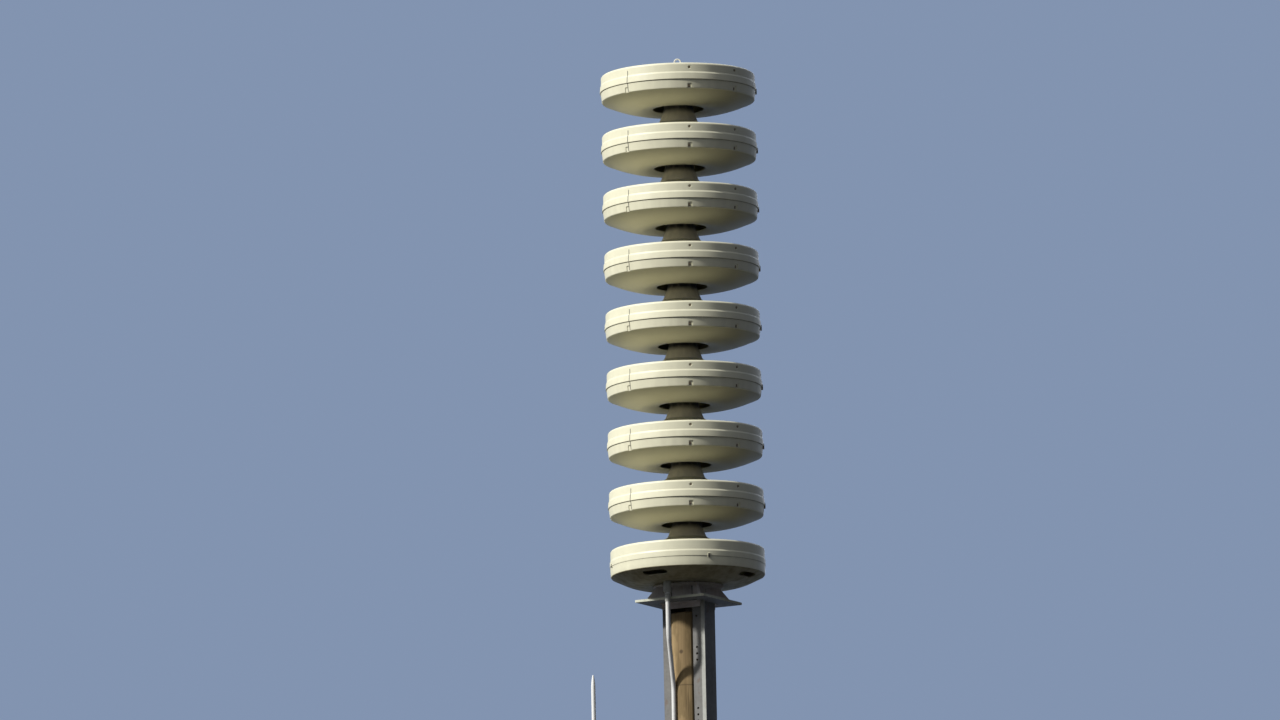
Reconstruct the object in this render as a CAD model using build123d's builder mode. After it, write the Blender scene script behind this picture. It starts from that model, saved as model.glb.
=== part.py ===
from build123d import *
import os
from math import cos, radians, sin, sqrt

# Civil defence siren tower: a stack of round horn discs on a steel bracket at the top of a wood
# pole, with its feed conduit, a whip antenna and the cabinets at the foot of the conduit.
# Millimetres. +Z is up, the origin is on the pole's axis at the ground, and +X and +Y are the
# bracket's own axes: the two channels stand on the pole's +X and -X sides.

# Wood pole
POLE_HEIGHT = 13100.0
POLE_TOP_R = 95.0
POLE_TAPER = 0.0053
POLE_CROWN = 8.0

# Pole-top bracket
PLATE_GAP = 51.5
PLATE_SIDE = 383.0
PLATE_THICK = 12.0
PLATE_CORNER_R = 3.0
CHANNEL_LENGTH = 1250.0
CHANNEL_DEPTH = 142.0
CHANNEL_FLANGE = 46.0
CHANNEL_WALL = 6.0
CHANNEL_SEAT = 100.0
STRAP_HOLE_R = 5.5
STRAP_HOLE_INSET = 21.0
STRAP_HOLE_PITCH = 31.0
STRAP_GROUP_PITCH = 299.0
STRAP_GROUP_FIRST = 259.0
STRAP_GROUPS = 4
STRAP_TOP_HOLE = 75.0
CORNER_ANGLE_LEG = 20.0
CORNER_ANGLE_WALL = 4.0
CROSS_ANGLE_LEG = 30.0
CROSS_ANGLE_WALL = 5.0
CROSS_ANGLE_LENGTH = 212.0
BOLT_R = 9.5
BOLT_CLEARANCE = 0.5
BOLT_HEAD_ACROSS = 29.0
BOLT_HEAD_THICK = 13.0
BOLT_DEPTHS = (630.0, 865.0, 1100.0)
FLANGE_CLEARANCE = 0.5

# Column and gussets between the top plate and the base disc
COLUMN_R = 85.0
COLUMN_WALL = 8.0
COLUMN_FLANGE_R = 170.0
COLUMN_FLANGE_THICK = 8.0
GUSSET_COUNT = 4
GUSSET_FIRST_ANGLE = 45.0
GUSSET_REACH = 205.0
GUSSET_TOP_R = 158.0
GUSSET_TOE = 13.0
GUSSET_THICK = 8.0

# Base disc
BASE_LIFT = 120.0
BASE_BAND = 132.0
BASE_R = 375.0
BASE_SEAM = 47.0
BASE_RIB = 72.0
BASE_SEAM_PROUD = 2.0
BASE_EDGE_IN = 3.0
BASE_EDGE_UP = 4.0
PAN_DEPTH = 46.0
PAN_FLAT_R = 228.0
PAN_FLAT_SLOPE = (1.0, 0.0)
PAN_RIM_SLOPE = (1.0, 0.42)
SLOT_COUNT = 4
SLOT_FIRST_ANGLE = 0.0
SLOT_R = 331.0
SLOT_WIDTH = 38.0
SLOT_SWEEP = 16.0

# Horn discs
HORN_COUNT = 8
HORN_PITCH = 293.5
HORN_BAND = 128.0
HORN_TOP_R = 376.0
HORN_SEAM_R = 382.0
BOWL_SEAM_R = 378.0
HORN_RIM_R = 373.0
HORN_SEAM = 45.0
HORN_RIB = 74.0
CORNER_R = 12.0
RIB_STEP = 1.5
RIB_PROUD = 1.0
WALL = 5.0
FLOOR_MIDDLE = 0.48
FLOOR_MIDDLE_RISE = 0.33
SHOULDER_SLOPE = (-1.0, 0.08)
FLOOR_TOP_SLOPE = (-0.85, 0.5)
RIM_IN = 5.0
RIM_UP = 5.0
RIM_INSIDE = 2.5
DISH_MIDDLE_DROP = 0.66
DISH_DEPTH = 46.0
DISH_LOW_R = 205.0
DISH_RIM_SLOPE = (-1.0, -0.42)
DISH_THROAT_SLOPE = (-1.0, 0.25)
THROAT_R = 126.0
THROAT_DEPTH = 39.0
NECK_R = 70.0
NECK_WALL = 4.0
NECK_FOOT_R = 96.0
NECK_FOOT_RISE = 60.0
NECK_THROAT_RISE = 134.0
NECK_FOOT_SLOPE = (-0.4, 1.0)
NECK_THROAT_SLOPE = (-0.2, 1.0)
CAP_RISE = 40.0
CAP_FLAT_R = 84.0

# Lifting eye on the top disc
EYE_WIDTH = 37.0
EYE_HEIGHT = 47.0
EYE_BAR_R = 3.5
EYE_TURN = 29.0
EYE_PAD_R = 24.0
EYE_PAD_THICK = 5.0

# Feed conduit
CONDUIT_R = 11.0
CONDUIT_WALL = 2.0
CONDUIT_Y = -207.0
CONDUIT_DROP = 171.5
CONDUIT_BEND_LENGTH = 235.0
CONDUIT_ANGLE = 251.0
CONDUIT_CLEARANCE = 0.3
CONDUIT_BEND_R = 160.0
CONDUIT_LEAVES_ABOVE = 420.0
CONDUIT_ENTERS_ABOVE = 170.0
FITTING_R = 13.8
FITTING_LENGTH = 36.0
HUB_R = 17.0
HUB_LENGTH = 14.0
PAN_HUB_R = 19.5
PAN_HUB_LENGTH = 55.0

# Whip antenna on its arm
WHIP_R = 10.5
WHIP_X = -540.0
WHIP_TIP_BELOW_PLATE = 301.5
WHIP_LENGTH = 1450.0
WHIP_TIP_LENGTH = 60.0
WHIP_TIP_R = 2.0
FERRULE_R = 16.0
FERRULE_LENGTH = 260.0
FERRULE_CONE = 8.0
ARM_SIZE = 38.0
ARM_PAD_WIDTH = 80.0
ARM_PAD_HEIGHT = 220.0
ARM_PAD_THICK = 8.0
ARM_GAIN = 6.0
ARM_CLAMP = 56.0
BRACE_WIDTH = 24.0
BRACE_THICK = 10.0
BRACE_REACH = 190.0
BRACE_FOOT = 6.0
BRACE_TOP_SHARE = 1.6
BRACE_FOOT_SHARE = 1.1

# Cabinets at the foot of the conduit
CABINET_WIDTH = 610.0
CONTROL_DEPTH = 305.0
CONTROL_HEIGHT = 760.0
CONTROL_BOTTOM = 2600.0
BATTERY_DEPTH = 330.0
BATTERY_HEIGHT = 520.0
CABINET_GAP = 60.0
CABINET_ROOF = 18.0
DOOR_THICK = 22.0
DOOR_MARGIN = 12.0
DOOR_CORNER_R = 6.0
DOOR_EDGE = 2.0
CABINET_CORNER_R = 4.0
RAIL_SIZE = 41.0
RAIL_WALL = 2.5
RAIL_LIP = 9.0
RAIL_LENGTH = 700.0
RAIL_INSET = 90.0
RAIL_GAIN = 5.0
GAIN_MARGIN = 6.0
GAIN_CUT = 700.0
NIPPLE_R = 20.0
NIPPLE_X = 180.0

# Heights that follow from the sizes above
PLATE_BOTTOM = POLE_HEIGHT + PLATE_GAP
PLATE_TOP = PLATE_BOTTOM + PLATE_THICK
BASE_Z = PLATE_TOP + BASE_LIFT
BASE_TOP = BASE_Z + BASE_BAND
HORN_GAP = HORN_PITCH - HORN_BAND
HORN_8_Z = BASE_Z + HORN_PITCH
CHANNEL_OUTER = CHANNEL_SEAT + CHANNEL_WALL
CHANNEL_TIP = CHANNEL_OUTER - CHANNEL_FLANGE
CHANNEL_BOTTOM = PLATE_BOTTOM - CHANNEL_LENGTH
HALF_DEPTH = CHANNEL_DEPTH / 2
PAN_BOTTOM = BASE_Z - PAN_DEPTH
BATTERY_BOTTOM = CONTROL_BOTTOM - CABINET_GAP - BATTERY_HEIGHT


def pole_r(z):
    """Radius of the pole at height z."""
    return POLE_TOP_R + (POLE_HEIGHT - z) * POLE_TAPER


def upright_plane(angle, z):
    """Vertical plane through the pole's axis: x runs outward at the angle, y runs up from z."""
    turn = radians(angle)
    return Plane(
        origin=(0, 0, z), x_dir=(cos(turn), sin(turn), 0), z_dir=(sin(turn), -cos(turn), 0)
    )


def back(slope):
    """The same slope, followed the other way."""
    return (-slope[0], -slope[1])


def save(part, name):
    """Label a finished part and write it to its own file."""
    part.label = name
    export_step(part, f"parts/{name}.step")


# Height of the rim of each horn disc, the top one first.
HORN_Z = [HORN_8_Z + (HORN_COUNT - 1 - i) * HORN_PITCH for i in range(HORN_COUNT)]


def cover(z, band, top_r, seam_r, seam, rib, inner_r, inner_rise):
    """Upper shell of a disc: skirt, shoulder and the horn floor up to the neck."""
    shoulder = top_r - CORNER_R
    run = shoulder - inner_r
    middle = (inner_r + FLOOR_MIDDLE * run, z + band + FLOOR_MIDDLE_RISE * inner_rise)
    rib_r = top_r + RIB_PROUD
    with BuildPart() as shell:
        with BuildSketch(Plane.XZ):
            with BuildLine():
                floor = Spline(
                    (shoulder, z + band),
                    middle,
                    (inner_r, z + band + inner_rise),
                    tangents=[SHOULDER_SLOPE, FLOOR_TOP_SLOPE],
                )
                Line(floor @ 1, (inner_r, z + band + inner_rise - WALL))
                under = Spline(
                    (inner_r, z + band + inner_rise - WALL),
                    (middle[0], middle[1] - WALL),
                    (shoulder, z + band - WALL),
                    tangents=[back(FLOOR_TOP_SLOPE), back(SHOULDER_SLOPE)],
                )
                inner_corner = (top_r - WALL, z + band - CORNER_R)
                RadiusArc(under @ 1, inner_corner, CORNER_R - WALL)
                Polyline(
                    inner_corner,
                    (seam_r - WALL, z + seam),
                    (seam_r, z + seam),
                    (rib_r + RIB_STEP, z + rib),
                    (rib_r, z + rib + RIB_STEP),
                    (top_r, z + band - CORNER_R),
                )
                RadiusArc((top_r, z + band - CORNER_R), (shoulder, z + band), -CORNER_R)
            make_face()
        revolve(axis=Axis.Z)
    return shell.part


def bowl(z):
    """Lower shell of a horn disc: short skirt and the dished underside with its throat hole."""
    rim = HORN_RIM_R - RIM_IN
    middle_r = (rim + DISH_LOW_R) / 2
    middle_z = z - DISH_MIDDLE_DROP * DISH_DEPTH
    with BuildPart() as shell:
        with BuildSketch(Plane.XZ):
            with BuildLine():
                dish = Spline(
                    (rim, z),
                    (middle_r, middle_z),
                    (DISH_LOW_R, z - DISH_DEPTH),
                    (THROAT_R, z - THROAT_DEPTH),
                    tangents=[DISH_RIM_SLOPE, DISH_THROAT_SLOPE],
                )
                Line(dish @ 1, (THROAT_R, z - THROAT_DEPTH + WALL))
                inside = Spline(
                    (THROAT_R, z - THROAT_DEPTH + WALL),
                    (DISH_LOW_R, z - DISH_DEPTH + WALL),
                    (middle_r, middle_z + WALL),
                    (rim - RIM_INSIDE, z + WALL),
                    tangents=[back(DISH_THROAT_SLOPE), back(DISH_RIM_SLOPE)],
                )
                Polyline(
                    inside @ 1,
                    (BOWL_SEAM_R - WALL, z + HORN_SEAM),
                    (BOWL_SEAM_R, z + HORN_SEAM),
                    (HORN_RIM_R, z + RIM_UP),
                    (rim, z),
                )
            make_face()
        revolve(axis=Axis.Z)
    return shell.part


def neck(foot_z, top_z):
    """Flared neck: closed at its foot, and a plain tube through the disc above it."""
    foot = foot_z + NECK_FOOT_RISE
    throat = foot_z + NECK_THROAT_RISE
    with BuildPart() as flare:
        with BuildSketch(Plane.XZ):
            with BuildLine():
                outer = Spline(
                    (NECK_FOOT_R, foot),
                    (NECK_R, throat),
                    tangents=[NECK_FOOT_SLOPE, NECK_THROAT_SLOPE],
                )
                Polyline(
                    outer @ 1,
                    (NECK_R, top_z),
                    (NECK_R - NECK_WALL, top_z),
                    (NECK_R - NECK_WALL, throat),
                )
                inner = Spline(
                    (NECK_R - NECK_WALL, throat),
                    (NECK_FOOT_R - NECK_WALL, foot),
                    tangents=[back(NECK_THROAT_SLOPE), back(NECK_FOOT_SLOPE)],
                )
                Polyline(
                    inner @ 1,
                    (0, foot),
                    (0, foot - WALL),
                    (NECK_FOOT_R, foot - WALL),
                    (NECK_FOOT_R, foot),
                )
            make_face()
        revolve(axis=Axis.Z)
    return flare.part


# Horn discs and their necks, numbered from the top. A neck stands on the disc below its own disc.
for i, z in enumerate(HORN_Z):
    number = i + 1
    if i == 0:
        inner_r, rise = CAP_FLAT_R, CAP_RISE
    else:
        inner_r, rise = NECK_FOOT_R, NECK_FOOT_RISE
    shell = cover(z, HORN_BAND, HORN_TOP_R, HORN_SEAM_R, HORN_SEAM, HORN_RIB, inner_r, rise)
    if i == 0:
        with BuildPart() as top_cover:
            add(shell)
            with BuildSketch(Plane.XY.offset(z + HORN_BAND + CAP_RISE - WALL)):
                Circle(CAP_FLAT_R)
            extrude(amount=WALL)
        shell = top_cover.part
    save(shell, f"horn_{number}_cover")
    save(bowl(z), f"horn_{number}_bowl")
    foot_z = z - HORN_GAP if number < HORN_COUNT else BASE_TOP
    seat_rise = CAP_RISE if i == 0 else NECK_FOOT_RISE
    save(neck(foot_z, z + HORN_BAND + seat_rise - WALL), f"horn_{number}_neck")

# Base disc: a straight-sided cover, and a dished pan with a flat floor and vent slots.
BASE_SEAM_R = BASE_R + BASE_SEAM_PROUD
base_shell = cover(
    BASE_Z, BASE_BAND, BASE_R, BASE_SEAM_R, BASE_SEAM, BASE_RIB, NECK_FOOT_R, NECK_FOOT_RISE
)
save(base_shell, "base_cover")

with BuildPart() as base_pan:
    with BuildSketch(Plane.XZ):
        with BuildLine():
            underside = Spline(
                (PAN_FLAT_R, PAN_BOTTOM),
                (BASE_R - BASE_EDGE_IN, BASE_Z),
                tangents=[PAN_FLAT_SLOPE, PAN_RIM_SLOPE],
            )
            inner_edge = (BASE_R - WALL, BASE_Z + WALL)
            Polyline(
                underside @ 1,
                (BASE_R, BASE_Z + BASE_EDGE_UP),
                (BASE_SEAM_R, BASE_Z + BASE_SEAM),
                (BASE_SEAM_R - WALL, BASE_Z + BASE_SEAM),
                inner_edge,
            )
            Spline(
                inner_edge,
                (PAN_FLAT_R, PAN_BOTTOM + WALL),
                tangents=[back(PAN_RIM_SLOPE), back(PAN_FLAT_SLOPE)],
            )
            Polyline(
                (PAN_FLAT_R, PAN_BOTTOM + WALL),
                (COLUMN_R, PAN_BOTTOM + WALL),
                (COLUMN_R, PAN_BOTTOM),
                underside @ 0,
            )
        make_face()
    revolve(axis=Axis.Z)
    with BuildSketch(Plane.XY.offset(PAN_BOTTOM)):
        with PolarLocations(0, SLOT_COUNT, start_angle=SLOT_FIRST_ANGLE):
            SlotArc(CenterArc((0, 0), SLOT_R, -SLOT_SWEEP / 2, SLOT_SWEEP), SLOT_WIDTH)
    extrude(amount=PAN_DEPTH + WALL, mode=Mode.SUBTRACT)
save(base_pan.part, "base_pan")

# Column from the top plate into the base disc, with the flange that the pan sits on.
with BuildPart() as base_column:
    with BuildSketch(Plane.XY.offset(PLATE_TOP)):
        Circle(COLUMN_R)
    extrude(amount=BASE_TOP + NECK_FOOT_RISE - WALL - PLATE_TOP)
    with BuildSketch(Plane.XY.offset(PAN_BOTTOM - COLUMN_FLANGE_THICK)):
        Circle(COLUMN_FLANGE_R)
    extrude(amount=COLUMN_FLANGE_THICK)
    with BuildSketch(Plane.XY.offset(PLATE_TOP)):
        Circle(COLUMN_R - COLUMN_WALL)
    extrude(amount=BASE_TOP + NECK_FOOT_RISE - WALL - PLATE_TOP, mode=Mode.SUBTRACT)
save(base_column.part, "base_column")

# Four gussets along the diagonals of the top plate.
GUSSET_HEIGHT = PAN_BOTTOM - COLUMN_FLANGE_THICK - PLATE_TOP
with BuildPart() as base_gussets:
    for k in range(GUSSET_COUNT):
        turn = GUSSET_FIRST_ANGLE + k * 360.0 / GUSSET_COUNT
        with BuildSketch(upright_plane(turn, PLATE_TOP)):
            with BuildLine():
                Polyline(
                    (COLUMN_R - COLUMN_WALL, 0),
                    (GUSSET_REACH, 0),
                    (GUSSET_REACH, GUSSET_TOE),
                    (GUSSET_TOP_R, GUSSET_HEIGHT),
                    (COLUMN_R - COLUMN_WALL, GUSSET_HEIGHT),
                    close=True,
                )
            make_face()
        extrude(amount=GUSSET_THICK / 2, both=True)
    with BuildSketch(Plane.XY.offset(PLATE_TOP)):
        Circle(COLUMN_R)
    extrude(amount=GUSSET_HEIGHT, mode=Mode.SUBTRACT)
save(base_gussets.part, "base_gussets")

# Lifting eye, a bent bar on a pad at the centre of the top disc.
EYE_Z = HORN_Z[0] + HORN_BAND + CAP_RISE
EYE_ARCH_R = EYE_WIDTH / 2 - EYE_BAR_R
EYE_SPRING = EYE_HEIGHT - EYE_WIDTH / 2
with BuildPart() as lifting_eye:
    with BuildLine(upright_plane(EYE_TURN, EYE_Z)) as eye_path:
        left_leg = Line((-EYE_ARCH_R, EYE_PAD_THICK / 2), (-EYE_ARCH_R, EYE_SPRING))
        ThreePointArc(
            (-EYE_ARCH_R, EYE_SPRING), (0, EYE_SPRING + EYE_ARCH_R), (EYE_ARCH_R, EYE_SPRING)
        )
        Line((EYE_ARCH_R, EYE_SPRING), (EYE_ARCH_R, EYE_PAD_THICK / 2))
    with BuildSketch(Plane(origin=left_leg @ 0, z_dir=left_leg % 0)):
        Circle(EYE_BAR_R)
    sweep(path=eye_path.line)
    with BuildSketch(Plane.XY.offset(EYE_Z)):
        Circle(EYE_PAD_R)
    extrude(amount=EYE_PAD_THICK)
save(lifting_eye.part, "lifting_eye")

# Top plate, square to the channels.
with BuildPart() as top_plate:
    with BuildSketch(Plane.XY.offset(PLATE_BOTTOM)):
        Rectangle(PLATE_SIDE, PLATE_SIDE)
    extrude(amount=PLATE_THICK)
    fillet(top_plate.edges().filter_by(Axis.Z), radius=PLATE_CORNER_R)
save(top_plate.part, "top_plate")


def angle_bar(plane, length, leg_x, leg_y, wall):
    """Angle section whose corner is the plane's origin, with its legs along x and y."""
    with BuildPart() as bar:
        with BuildSketch(plane):
            with BuildLine():
                Polyline(
                    (0, 0),
                    (leg_x, 0),
                    (leg_x, wall if leg_y > 0 else -wall),
                    (wall if leg_x > 0 else -wall, wall if leg_y > 0 else -wall),
                    (wall if leg_x > 0 else -wall, leg_y),
                    (0, leg_y),
                    close=True,
                )
            make_face()
        extrude(amount=length)
    return bar.part


# Cross angles under the plate, one against each pair of channel flanges.
with BuildPart() as cross_angles:
    for side in (-1, 1):
        start = Plane(
            origin=(-CROSS_ANGLE_LENGTH / 2, side * HALF_DEPTH, PLATE_BOTTOM),
            x_dir=(0, 1, 0),
            z_dir=(1, 0, 0),
        )
        add(
            angle_bar(
                start,
                CROSS_ANGLE_LENGTH,
                side * CROSS_ANGLE_LEG,
                -CROSS_ANGLE_LEG,
                CROSS_ANGLE_WALL,
            )
        )
save(cross_angles.part, "cross_angles")


def channel(side):
    """One upright channel on the pole's +X side, or turned half round to its -X side."""
    with BuildPart() as upright:
        with BuildSketch(Plane.XY.offset(CHANNEL_BOTTOM)):
            with BuildLine():
                Polyline(
                    (CHANNEL_OUTER, -HALF_DEPTH),
                    (CHANNEL_OUTER, HALF_DEPTH),
                    (CHANNEL_TIP, HALF_DEPTH),
                    (CHANNEL_TIP, HALF_DEPTH - CHANNEL_WALL),
                    (CHANNEL_SEAT, HALF_DEPTH - CHANNEL_WALL),
                    (CHANNEL_SEAT, CHANNEL_WALL - HALF_DEPTH),
                    (CHANNEL_TIP, CHANNEL_WALL - HALF_DEPTH),
                    (CHANNEL_TIP, -HALF_DEPTH),
                    close=True,
                )
            make_face()
        extrude(amount=CHANNEL_LENGTH)
        hole_x = CHANNEL_TIP + STRAP_HOLE_INSET
        front = Plane(
            origin=(hole_x, -HALF_DEPTH, PLATE_BOTTOM), x_dir=(1, 0, 0), z_dir=(0, -1, 0)
        )
        with BuildSketch(front):
            spots = [(0, -STRAP_TOP_HOLE)]
            for group in range(STRAP_GROUPS):
                middle = STRAP_GROUP_FIRST + group * STRAP_GROUP_PITCH
                spots += [(0, -middle + step * STRAP_HOLE_PITCH) for step in (-1, 0, 1)]
            with Locations(*spots):
                Circle(STRAP_HOLE_R)
        extrude(amount=-CHANNEL_WALL, mode=Mode.SUBTRACT)
        across = Plane(origin=(CHANNEL_OUTER, 0, PLATE_BOTTOM), x_dir=(0, 1, 0), z_dir=(1, 0, 0))
        with BuildSketch(across):
            with Locations(*[(0, -depth) for depth in BOLT_DEPTHS]):
                Circle(BOLT_R + BOLT_CLEARANCE)
        extrude(amount=-CHANNEL_WALL, mode=Mode.SUBTRACT)
    return upright.part if side > 0 else upright.part.rotate(Axis.Z, 180)


save(channel(1), "right_channel")
save(channel(-1), "left_channel")

# Corner angles: one leg lies on a channel's web, the other carries its holed flange outward.
with BuildPart() as corner_angles:
    corner = Plane(
        origin=(CHANNEL_OUTER, -HALF_DEPTH, CHANNEL_BOTTOM), x_dir=(1, 0, 0), z_dir=(0, 0, 1)
    )
    legs = (CORNER_ANGLE_LEG, CORNER_ANGLE_LEG, CORNER_ANGLE_WALL)
    add(angle_bar(corner, CHANNEL_LENGTH, *legs))
    add(angle_bar(corner, CHANNEL_LENGTH, *legs).rotate(Axis.Z, 180))
save(corner_angles.part, "corner_angles")

# Through bolts, hex head on one web and hex nut on the other.
with BuildPart() as through_bolts:
    for depth in BOLT_DEPTHS:
        z = PLATE_BOTTOM - depth
        with BuildSketch(Plane(origin=(-CHANNEL_OUTER, 0, z), x_dir=(0, 1, 0), z_dir=(1, 0, 0))):
            Circle(BOLT_R)
        extrude(amount=2 * CHANNEL_OUTER)
        for side in (-1, 1):
            seat = Plane(
                origin=(side * CHANNEL_OUTER, 0, z), x_dir=(0, 1, 0), z_dir=(side, 0, 0)
            )
            with BuildSketch(seat):
                RegularPolygon(BOLT_HEAD_ACROSS / 2, 6, major_radius=False)
            extrude(amount=BOLT_HEAD_THICK)
save(through_bolts.part, "through_bolts")

# Cabinet rails and the flats that they, the channels and the antenna arm seat on.
CONTROL_TOP = CONTROL_BOTTOM + CONTROL_HEIGHT
RAIL_HEIGHTS = [
    CONTROL_TOP - RAIL_INSET,
    CONTROL_BOTTOM + RAIL_INSET,
    BATTERY_BOTTOM + BATTERY_HEIGHT - RAIL_INSET,
    BATTERY_BOTTOM + RAIL_INSET,
]
RAIL_SEAT = pole_r(RAIL_HEIGHTS[0] + RAIL_SIZE / 2) - RAIL_GAIN
ARM_Z = PLATE_BOTTOM - WHIP_TIP_BELOW_PLATE - WHIP_LENGTH + FERRULE_LENGTH / 2
ARM_SEAT = pole_r(ARM_Z + ARM_PAD_HEIGHT / 2) - ARM_GAIN

with BuildPart() as wood_pole:
    with BuildSketch(Plane.XZ):
        with BuildLine():
            Polyline(
                (0, 0),
                (pole_r(0), 0),
                (pole_r(POLE_HEIGHT - POLE_CROWN), POLE_HEIGHT - POLE_CROWN),
                (POLE_TOP_R - POLE_CROWN, POLE_HEIGHT),
                (0, POLE_HEIGHT),
                close=True,
            )
        make_face()
    revolve(axis=Axis.Z)
    gain_width = GAIN_CUT
    gain_top = POLE_HEIGHT + POLE_CROWN
    gain_height = gain_top - CHANNEL_BOTTOM + GAIN_MARGIN
    for side in (-1, 1):
        with BuildSketch(
            Plane(
                origin=(side * CHANNEL_SEAT, 0, gain_top - gain_height / 2),
                x_dir=(0, 1, 0),
                z_dir=(side, 0, 0),
            )
        ):
            Rectangle(gain_width, gain_height)
        extrude(amount=gain_width, mode=Mode.SUBTRACT)
    relief_x = CHANNEL_TIP - FLANGE_CLEARANCE + gain_width / 2
    relief_y = HALF_DEPTH - CHANNEL_WALL - FLANGE_CLEARANCE + gain_width / 2
    with BuildSketch(Plane.XY.offset(gain_top)):
        with GridLocations(2 * relief_x, 2 * relief_y, 2, 2):
            Rectangle(gain_width, gain_width)
    extrude(amount=-gain_height, mode=Mode.SUBTRACT)
    for z in RAIL_HEIGHTS:
        with BuildSketch(Plane(origin=(0, -RAIL_SEAT, z), x_dir=(1, 0, 0), z_dir=(0, -1, 0))):
            Rectangle(gain_width, RAIL_SIZE + 2 * GAIN_MARGIN)
        extrude(amount=gain_width, mode=Mode.SUBTRACT)
    with BuildSketch(Plane(origin=(-ARM_SEAT, 0, ARM_Z), x_dir=(0, 1, 0), z_dir=(-1, 0, 0))):
        Rectangle(gain_width, ARM_PAD_HEIGHT + 2 * GAIN_MARGIN)
    extrude(amount=gain_width, mode=Mode.SUBTRACT)
    with BuildSketch(Plane(origin=(0, 0, PLATE_BOTTOM), x_dir=(0, 1, 0), z_dir=(1, 0, 0))):
        with Locations(*[(0, -depth) for depth in BOLT_DEPTHS]):
            Circle(BOLT_R + BOLT_CLEARANCE)
    extrude(amount=gain_width, both=True, mode=Mode.SUBTRACT)
save(wood_pole.part, "wood_pole")

with BuildPart() as cabinet_rails:
    for z in RAIL_HEIGHTS:
        rail_end = Plane(
            origin=(RAIL_LENGTH / 2, -RAIL_SEAT, z), x_dir=(0, -1, 0), z_dir=(-1, 0, 0)
        )
        half = RAIL_SIZE / 2
        with BuildSketch(rail_end):
            with BuildLine():
                Polyline(
                    (0, -half),
                    (RAIL_SIZE, -half),
                    (RAIL_SIZE, -half + RAIL_LIP),
                    (RAIL_SIZE - RAIL_WALL, -half + RAIL_LIP),
                    (RAIL_SIZE - RAIL_WALL, -half + RAIL_WALL),
                    (RAIL_WALL, -half + RAIL_WALL),
                    (RAIL_WALL, half - RAIL_WALL),
                    (RAIL_SIZE - RAIL_WALL, half - RAIL_WALL),
                    (RAIL_SIZE - RAIL_WALL, half - RAIL_LIP),
                    (RAIL_SIZE, half - RAIL_LIP),
                    (RAIL_SIZE, half),
                    (0, half),
                    close=True,
                )
            make_face()
        extrude(amount=RAIL_LENGTH)
save(cabinet_rails.part, "cabinet_rails")

CABINET_BACK = -RAIL_SEAT - RAIL_SIZE


def cabinet(name, bottom, height, depth):
    """A closed cabinet with a sloping roof, and its door on the front face."""
    front = CABINET_BACK - depth
    with BuildPart() as body:
        side = Plane(
            origin=(CABINET_WIDTH / 2, CABINET_BACK, bottom), x_dir=(0, -1, 0), z_dir=(-1, 0, 0)
        )
        with BuildSketch(side):
            with BuildLine():
                Polyline(
                    (0, 0),
                    (depth, 0),
                    (depth, height - CABINET_ROOF),
                    (0, height),
                    close=True,
                )
            make_face()
        extrude(amount=CABINET_WIDTH)
        fillet(body.edges().filter_by(Axis.Z), radius=CABINET_CORNER_R)
    with BuildPart() as door:
        face = Plane(
            origin=(0, front, bottom + (height - CABINET_ROOF) / 2),
            x_dir=(1, 0, 0),
            z_dir=(0, -1, 0),
        )
        with BuildSketch(face):
            Rectangle(
                CABINET_WIDTH - 2 * DOOR_MARGIN, height - CABINET_ROOF - 2 * DOOR_MARGIN
            )
        extrude(amount=DOOR_THICK)
        fillet(door.edges().filter_by(Axis.Y), radius=DOOR_CORNER_R)
        chamfer(door.faces().sort_by(Axis.Y)[0].edges(), length=DOOR_EDGE)
    save(body.part, f"{name}_cabinet")
    save(door.part, f"{name}_door")


cabinet("control", CONTROL_BOTTOM, CONTROL_HEIGHT, CONTROL_DEPTH)
cabinet("battery", BATTERY_BOTTOM, BATTERY_HEIGHT, BATTERY_DEPTH)

# Feed conduit: down past the plate, in to the pole, along it and out to the control cabinet.
along = (cos(radians(CONDUIT_ANGLE)), sin(radians(CONDUIT_ANGLE)))


def beside_pole(z):
    """Centre of the conduit where it lies along the pole at height z."""
    stand_off = (CONDUIT_R + CONDUIT_CLEARANCE) * sqrt(1 + POLE_TAPER**2)
    reach = pole_r(z) + stand_off
    return (along[0] * reach, along[1] * reach, z)


BEND_Z = PLATE_BOTTOM - CONDUIT_DROP
LAND_Z = BEND_Z - CONDUIT_BEND_LENGTH
LEAVE_Z = CONTROL_TOP + CONDUIT_LEAVES_ABOVE
ENTRY_Z = CONTROL_TOP + CONDUIT_ENTERS_ABOVE
ENTRY_Y = CABINET_BACK - CONTROL_DEPTH / 2
ENTRY_X = beside_pole(LEAVE_Z)[0]
with BuildPart() as conduit:
    with BuildLine() as route:
        FilletPolyline(
            (0, CONDUIT_Y, PAN_BOTTOM),
            (0, CONDUIT_Y, BEND_Z),
            beside_pole(LAND_Z),
            beside_pole(LEAVE_Z),
            (ENTRY_X, ENTRY_Y, ENTRY_Z),
            (ENTRY_X, ENTRY_Y, CONTROL_TOP),
            radius=CONDUIT_BEND_R,
        )
    with BuildSketch(Plane(origin=(0, CONDUIT_Y, PAN_BOTTOM), z_dir=(0, 0, -1))):
        Circle(CONDUIT_R)
        Circle(CONDUIT_R - CONDUIT_WALL, mode=Mode.SUBTRACT)
    sweep(path=route.line)
save(conduit.part, "conduit")


def roof_plane(bottom, height, depth):
    """Plane of a cabinet's sloping roof, facing up."""
    return Plane(origin=(0, CABINET_BACK, bottom + height), z_dir=(0, -CABINET_ROOF, depth))


def collar(x, y, bottom, top, outer, bore, seat=None):
    """A ring on a vertical run of conduit, cut off at its foot where it stands on a seat."""
    with BuildPart() as ring:
        with BuildSketch(Plane(origin=(x, y, bottom))):
            Circle(outer)
            if bore:
                Circle(bore, mode=Mode.SUBTRACT)
        extrude(amount=top - bottom)
        if seat:
            split(bisect_by=seat, keep=Keep.TOP)
    return ring.part


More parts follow.
